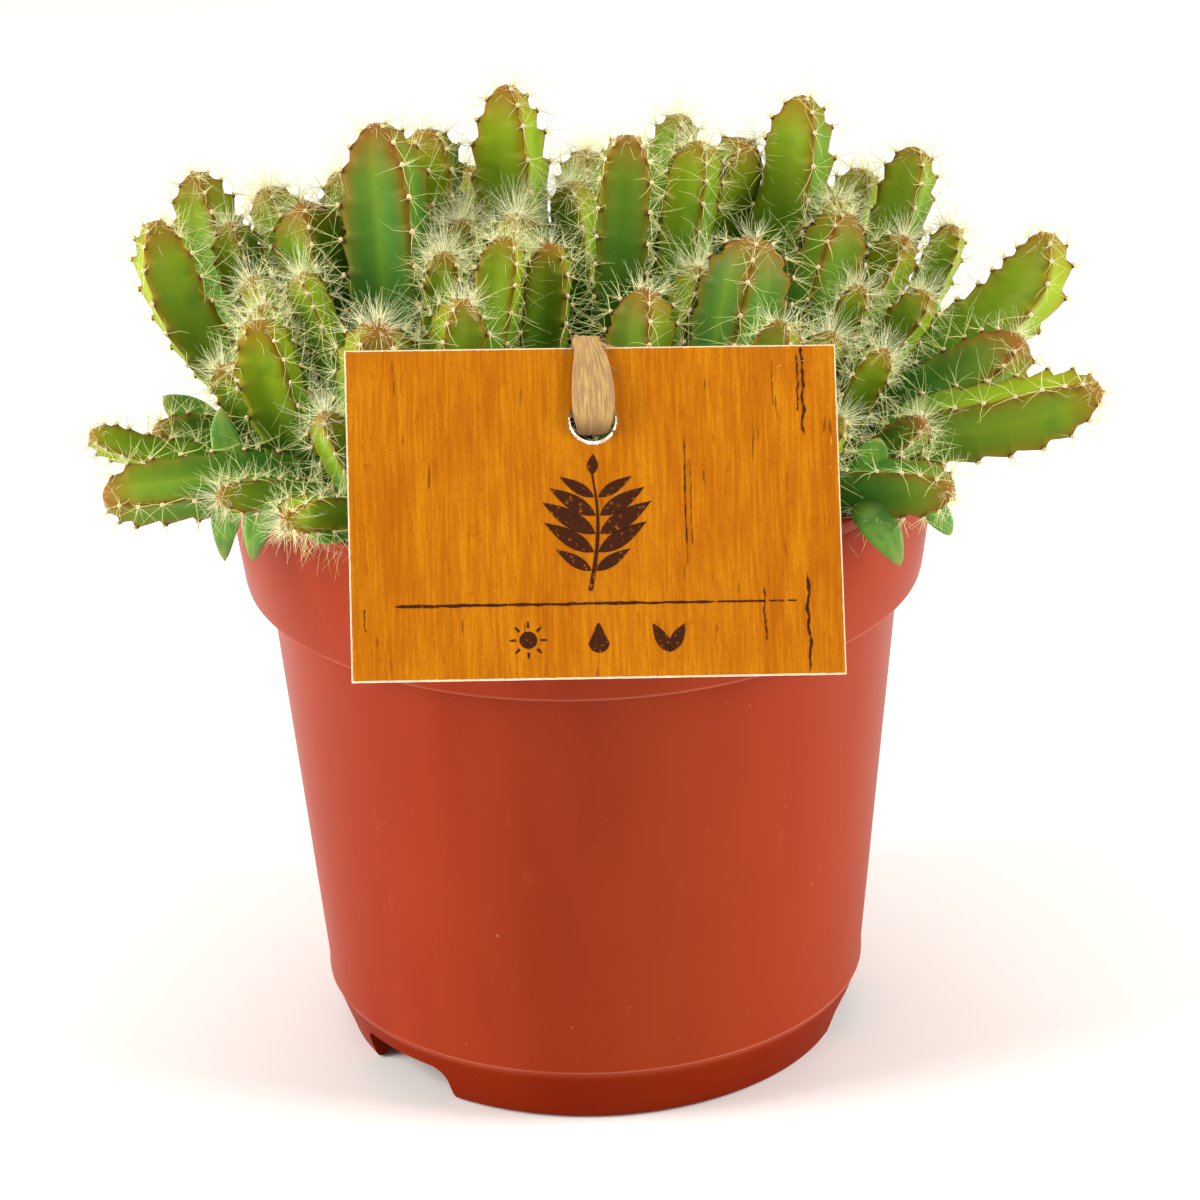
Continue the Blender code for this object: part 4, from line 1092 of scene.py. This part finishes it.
def seedLeafInto(bm, root, middle, tip, width, looks):
    # a fleshy pointed seed leaf along a bent path
    root, middle, tip = (np.array(p, float) for p in (root, middle, tip))

    def spotAt(u, v):
        t = v[:, None]
        centreLine = (1 - t) ** 2 * root + 2 * t * (1 - t) * middle + t * t * tip
        travel = 2 * (1 - t) * (middle - root) + 2 * t * (tip - middle)
        wide = unit(np.cross(travel, looks))
        thick = unit(np.cross(wide, travel))
        closing = np.clip(np.minimum(v / 0.04, (1.0 - v) / 0.08), 0.0, 1.0) ** 0.5
        half = width / 2 * np.abs(np.sin(math.pi * (0.12 + 0.88 * v) ** 1.25)) ** 0.7
        angle = math.tau * u
        fold = 0.10 * half * np.abs(np.cos(angle)) ** 1.5
        bulge = signedPower(np.sin(angle), 0.8) * 0.85 * (1.0 - 0.35 * v) * closing
        return centreLine + wide * (np.cos(angle) * half)[:, None] + thick * (bulge + fold)[:, None]

    verts, uv = sheetInto(bm, 20, 22, spotAt)
    form, tone = (bm.verts.layers.float_color[name] for name in ("form", "tone"))
    for vert, (u, v) in zip(verts, uv):
        vert[form] = (v, abs(math.sin(math.tau * u)) ** 8, 0.0, 1.0)
        vert[tone] = (0.0, 0.0, 0.0, 1.0)
        for face in vert.link_faces:
            face.material_index = slots["leaf"]


def skinInto(bm, stem, knots, chance):
    # ribbed skin with what its finish reads: crest, height and areole, then red, tip and a deeper green
    # that is partly the stem's own and partly painted shade
    f = stemForm
    ribs, width = stems[stem][:2]
    red = stems[stem][8]
    length = axes[stem][1][-1]
    columns = ribs * f["perRib"]
    rings = int(round((length + f["rootDeep"]) / f["ringEvery"]))
    up = np.linspace(-f["rootDeep"], length, rings + 1)
    column = np.arange(columns)
    rib = np.round(column / f["perRib"]).astype(int)
    t = (column - rib * f["perRib"]) / (f["perRib"] / 2)
    points, _, phase = skinPoints(stem, knots, up[:, None], rib[None] % ribs, t[None])
    points[0] = points[0].mean(axis=0)
    points[-1] = points[-1].mean(axis=0)

    def spotAt(u, v):
        return points[np.round(v * rings).astype(int), np.round(u * columns).astype(int) % columns]

    form, tone = (bm.verts.layers.float_color.new(layer) for layer in ("form", "tone"))
    valleyHighlight = bm.verts.layers.float.new("valleyHighlight")
    pale = [chance.random() ** 1.5 for _ in range(ribs)]  # painted highlight: some faces show a paler line down their hollow
    dark = darkStems.get(stem, 0.0)
    # a deeper green on some faces: partly their own tone, partly painted shade
    deep = [max(0.0, dark + (1.0 - dark) * 0.7 * chance.random() ** 1.5) for _ in range(ribs)]
    crest = 1.0 - np.abs(t)
    height = np.maximum(0.0, up) / length + 0.4 * max(0.0, -dark)
    tip = np.maximum(0.0, 1.0 - (length - up) / (0.58 * width)) ** 1.3
    spot = np.exp(-(((phase - 0.88) / 0.07) ** 2)) * crest**3
    hollow = np.maximum(0.0, 1.0 - 2.6 * crest)
    verts, uv = sheetInto(bm, columns, rings, spotAt)
    for vert, (u, v) in zip(verts, uv):
        j, i = int(round(v * rings)), int(round(u * columns)) % columns
        face = i // f["perRib"]
        vert[form] = (crest[i], height[j], spot[j, i], 1.0)
        vert[tone] = (red, tip[j], deep[face], 1.0)
        vert[valleyHighlight] = pale[face] * hollow[i] * min(1.0, max(0.0, up[j] / 12.0))


def areolesOf(stem, knots):
    # place, outward and upward way, and nearness to the tip of each areole, on the crests
    f = stemForm
    _, run, _, _, ahead = axes[stem]
    found = []
    for rib, marks in enumerate(knots):
        tops = marks[:-1] + f["areoleAt"] * np.diff(marks)
        found += [(up, rib) for up in tops if f["bareFoot"] < up < run[-1] - f["bareTip"]]
    ups, ribs = np.array(found).T
    places, ways, _ = skinPoints(stem, knots, ups[:, None], ribs[:, None], np.zeros((len(ups), 1)))
    for up, spot, out, rising in zip(ups, places[:, 0], ways[:, 0], unit(readAlong(ups, run, ahead))):
        near = max(0.0, 1.0 - (run[-1] - up) / f["tipLong"])
        yield spot, unit(out + rising * 0.9 * near), rising, near


def cushionInto(bm, spot, out, side, rising, size):
    turn = Matrix((side, np.cross(out, side), out)).transposed().to_4x4()
    for kind, (lift, shift, shape) in cushions.items():
        middle = Matrix.Translation(inScene(spot + out * lift + rising * shift * size))
        spread = Matrix.Diagonal([size * s for s in shape] + [1.0])
        before = len(bm.faces)
        bmesh.ops.create_icosphere(bm, subdivisions=1, radius=mm, matrix=middle @ turn @ spread)
        slotSince(bm, before, slots[kind])


def anyWay(chance):
    return np.array([chance.uniform(-1, 1) for _ in range(3)])


def needlesAt(spot, out, side, width, near, chance):
    # sharp needles that fan out from an areole
    f = stemForm
    first = chance.random() * math.tau
    count = f["spinesEach"] + chance.choice((-1, 0, 0, 1))
    needles = []
    for spine in range(count):
        angle = first + math.tau * spine / count + chance.uniform(-0.4, 0.4)
        lean = chance.uniform(0.7, 1.3) if spine else chance.uniform(0.0, 0.5)
        plane = side * math.cos(angle) + np.cross(out, side) * math.sin(angle)
        way = out * math.cos(lean) + plane * math.sin(lean)
        long = chance.uniform(*f["spineLong"]) * (0.75 + 0.02 * width) * (1.0 - 0.45 * near)
        bend = anyWay(chance) * 0.08 * long
        thick = f["spineThick"] * chance.uniform(0.75, 1.1)
        start = spot + way * 0.1
        middle = start + way * long * 0.5 + bend
        needles.append([(start, thick), (middle, thick * 0.7), (start + way * long, 0.015)])
    return needles


def tuftOf(stem, chance):
    # hairs of the cap on the tip: root, way and length
    width, hairy = stems[stem][1], stems[stem][7]
    crown, ahead = axes[stem][0][-1], axes[stem][4][-1]
    hairs = []
    fewest, more = stemForm["tuftHairs"]
    for _ in range(int((fewest + more * hairy) * shaggy.get(stem, 1.0))):
        way = unit(ahead * chance.uniform(-0.1, 1.0) + np.array([chance.gauss(0, 0.6) for _ in range(3)]))
        root = crown - ahead * chance.uniform(0.2, 1.8)
        root = root + (way - ahead * way.dot(ahead)) * 0.22 * width * chance.random()
        hairs.append((root, way, chance.uniform(*stemForm["tuftLong"]) * (0.6 + 0.4 * hairy)))
    return hairs


def hairThread(root, way, long, chance):
    way = unit(way)
    sway = anyWay(chance) * 0.07 * long
    curl = anyWay(chance) * 0.10 * long
    thin = stemForm["hairThick"]
    return [
        (root, thin),
        (root + way * long * 0.35 + sway * 0.5, thin * 0.9),
        (root + way * long * 0.7 + sway, thin * 0.7),
        (root + way * long + curl, 0.008),
    ]


def makeStem(stem, finishes, chance):
    width, hairy = stems[stem][1], stems[stem][7]
    knots = toothKnots(stem, chance)
    bm = bmesh.new()
    skinInto(bm, stem, knots, chance)
    for shape in seedLeaves.get(stem, ()):
        seedLeafInto(bm, *shape)
    closeUp(bm)
    needles, hairs = [], []
    for spot, out, rising, near in areolesOf(stem, knots):
        side = unit(np.cross(rising, out))
        cushionInto(bm, spot, out, side, rising, (0.36 + 0.016 * width) * (1.0 - 0.2 * near))
        needles += needlesAt(spot, out, side, width, near, chance)
        if near > 0.2 or hairy > 0.4:
            for _ in range(int(3 + 10 * hairy)):
                hairs.append((spot, out + 0.8 * anyWay(chance), chance.uniform(1.5, 4.0)))
    hairs += tuftOf(stem, chance)
    threadsInto(bm, needles, slots["needle"])
    threadsInto(bm, [hairThread(*hair, chance) for hair in hairs], slots["hair"])
    asPiece(f"cactusStem{stem:02d}", bm, finishes, [f"Stem_{stem:02d}"])


def makeStems():
    finishes = [
        skinFinish(),
        plainFinish("areoleFelt", (0.60, 0.47, 0.24), (0.80, 0.69, 0.42), 2500.0, 0.9, 0.1, 0.06),
        plainFinish("areoleScale", (0.10, 0.035, 0.012), (0.22, 0.085, 0.03), 1800.0, 0.7, 0.05),
        plainFinish("needle", (0.56, 0.58, 0.17), (0.79, 0.79, 0.35), 500.0, 0.5, 0.02, 0.10),
        leafFinish(),
        plainFinish("tuftHair", (0.67, 0.68, 0.36), (0.90, 0.88, 0.62), 700.0, 0.8, 0.02, 0.18),
    ]
    for stem in stems:
        makeStem(stem, finishes, random.Random(stemForm["seed"] + stem))


makeStems()
print("stems ready")

# raffia ribbon, in millimetres

ribbon = {
    "thick": 1.1,
    "stem": 15,  # what it goes round
    "loop": 8.4,
    "loopUp": 139.0,
    "loopTurns": (-40.0, 0.0, 45.0, 90.0, 135.0, 180.0, 215.0),
    "steps": 10,
    "around": 28,
    "pleat": 0.10,
    "fibres": 46,
    "frayed": ((0.0, 9.0), (18.0, 34.0)),  # parts of the run with more loose fibres
    "seed": 12,
}


def raffiaFinish():
    made, tree, shader = newFinish("dryRaffia", 0.75, 0.25)
    spot = put(tree, "ShaderNodeUVMap", uv_map="fibre").outputs[0]
    strand = noiseOn(tree, spot, 2.6, 4.0, (1.0, 0.06, 1.0), 0.6)
    patch = noiseOn(tree, spot, 0.5, 2.0, (1.0, 0.5, 1.0))
    knot = noiseOn(tree, spot, 4.5, 1.0, (1.0, 0.8, 1.0))
    colour = coated(
        tree,
        mixed(tree, between(tree, strand, 0.35, 0.62), (0.33, 0.182, 0.061), (0.55, 0.355, 0.132)),
        (patch, 0.42, 0.62, 0.80, (0.36, 0.205, 0.095)),
        (apart(tree, spot)[1], 7.0, 3.5, 0.75, (0.16, 0.085, 0.030)),  # painted shade, darker in the hole
        (knot, 0.71, 0.76, 0.80, (0.09, 0.05, 0.02)),
    )
    painted(tree, shader, colour)
    raised(tree, shader, strand, 0.14)
    return made


def ribbonStations():
    # place, broad direction and width: through the hole, over the top edge and round the stem
    across = cardAxes()[:, 0]
    upright = np.array([0.0, 0.0, 1.0])
    tied = axes[ribbon["stem"]][0]
    hub = readAlong(ribbon["loopUp"], tied[:, 2], tied)[:2]
    up, top = card["holeUp"], card["tall"] / 2
    front = (
        (0.0, 2.4, up - 1.2, 5.0),
        (0.0, 0.0, up - 2.3, 4.6),
        (0.0, -1.4, up - 1.6, 5.8),
        (0.1, -1.9, up + 1.2, 7.2),
        (0.1, -1.6, up + 5.5, 7.2),
        (-0.1, -1.4, up + 9.5, 6.2),
        (-0.5, -1.4, top - 0.6, 5.0),
        (-0.7, -0.6, top + 1.4, 4.4),
        (-0.4, 0.9, top + 1.5, 4.6),
        (0.8, 2.6, top, 5.0),
    )
    stations = [(onCard(*spot), across, width) for *spot, width in front]
    for turn in np.radians(ribbon["loopTurns"]):
        x, y = hub + ribbon["loop"] * np.array([math.cos(turn), math.sin(turn)])
        stations.append((np.array([x, y, ribbon["loopUp"]]), upright, 4.6))
    leaving = 0.5 * (stations[-1][0] + onCard(0.0, 5.0, up))
    stations.append((leaving, unit(across + upright), 5.0))
    return stations


def smoothLoop(values, steps):
    # a smooth curve through a closed list of values
    values = np.array(values, float)
    out = []
    for n in range(len(values)):
        a, b, c, d = (values[(n + k) % len(values)] for k in (-1, 0, 1, 2))
        for t in np.arange(steps) / steps:
            curve = (2 * a - 5 * b + 4 * c - d) * t**2 + (3 * b - a - 3 * c + d) * t**3
            out.append(0.5 * (2 * b + (c - a) * t + curve))
    return np.array(out)


def makeRibbon():
    chance = random.Random(ribbon["seed"])
    path, wide, width = (smoothLoop(values, ribbon["steps"]) for values in zip(*ribbonStations()))
    travel = np.roll(path, -1, axis=0) - np.roll(path, 1, axis=0)
    thick = unit(np.cross(travel, wide))
    wide = unit(np.cross(thick, travel))
    run = np.concatenate([[0.0], np.cumsum(np.linalg.norm(np.diff(path, axis=0), axis=1))])
    rings, around = len(path), ribbon["around"]
    angle = math.tau * np.arange(around) / around
    pleat = ribbon["pleat"] * np.sin(7 * np.cos(angle) * 2.2 + 1.0)
    side = signedPower(np.cos(angle), 0.8)
    level = signedPower(np.sin(angle), 0.45)

    def cell(u, v):
        return np.round(u * around).astype(int) % around, np.round(v * rings).astype(int) % rings

    def spotAt(u, v):
        i, j = cell(u, v)
        sway = 0.12 * np.sin(run[j] * 0.9 + 5 * side[i])
        flat = np.abs(level[i]) > 0.5
        lift = level[i] * ribbon["thick"] / 2 * 0.85 + np.where(flat, pleat[i] + sway * 0.6, 0.0) * 0.8
        return path[j] + wide[j] * (side[i] * width[j] / 2)[:, None] + thick[j] * lift[:, None]

    bm = bmesh.new()
    verts, uv = sheetInto(bm, around, rings, spotAt)
    i, j = cell(*uv.T)
    onStrand = dict(zip(verts, zip(side[i] * 3.0, run[j])))
    layer = bm.loops.layers.uv.new("fibre")
    for face in bm.faces:
        for loop in face.loops:
            loop[layer].uv = onStrand[loop.vert]
    closeUp(bm)
    threads = []
    for _ in range(ribbon["fibres"]):
        at = chance.choice([chance.uniform(*part) for part in (*ribbon["frayed"], (0.0, run[-1]))])
        j = int(np.searchsorted(run, at)) % rings
        way = chance.choice((-1, 1))
        start = path[j] + wide[j] * way * width[j] * 0.47
        length = chance.uniform(1.2, 4.2)
        bend = wide[j] * way * chance.uniform(0.2, 0.9)
        bend = unit(bend + unit(travel[j]) * chance.uniform(-1, 1) + thick[j] * chance.uniform(-0.3, 0.2))
        droop = np.array([0.0, 0.0, -0.25 * length])
        middle = start + bend * length * 0.5
        threads.append([(start, 0.11), (middle, 0.08), (start + bend * length + droop, 0.02)])
    threadsInto(bm, threads, 0)
    asPiece("raffiaTie", bm, [raffiaFinish()], ["Raffia"])


makeRibbon()
print("ribbon ready")
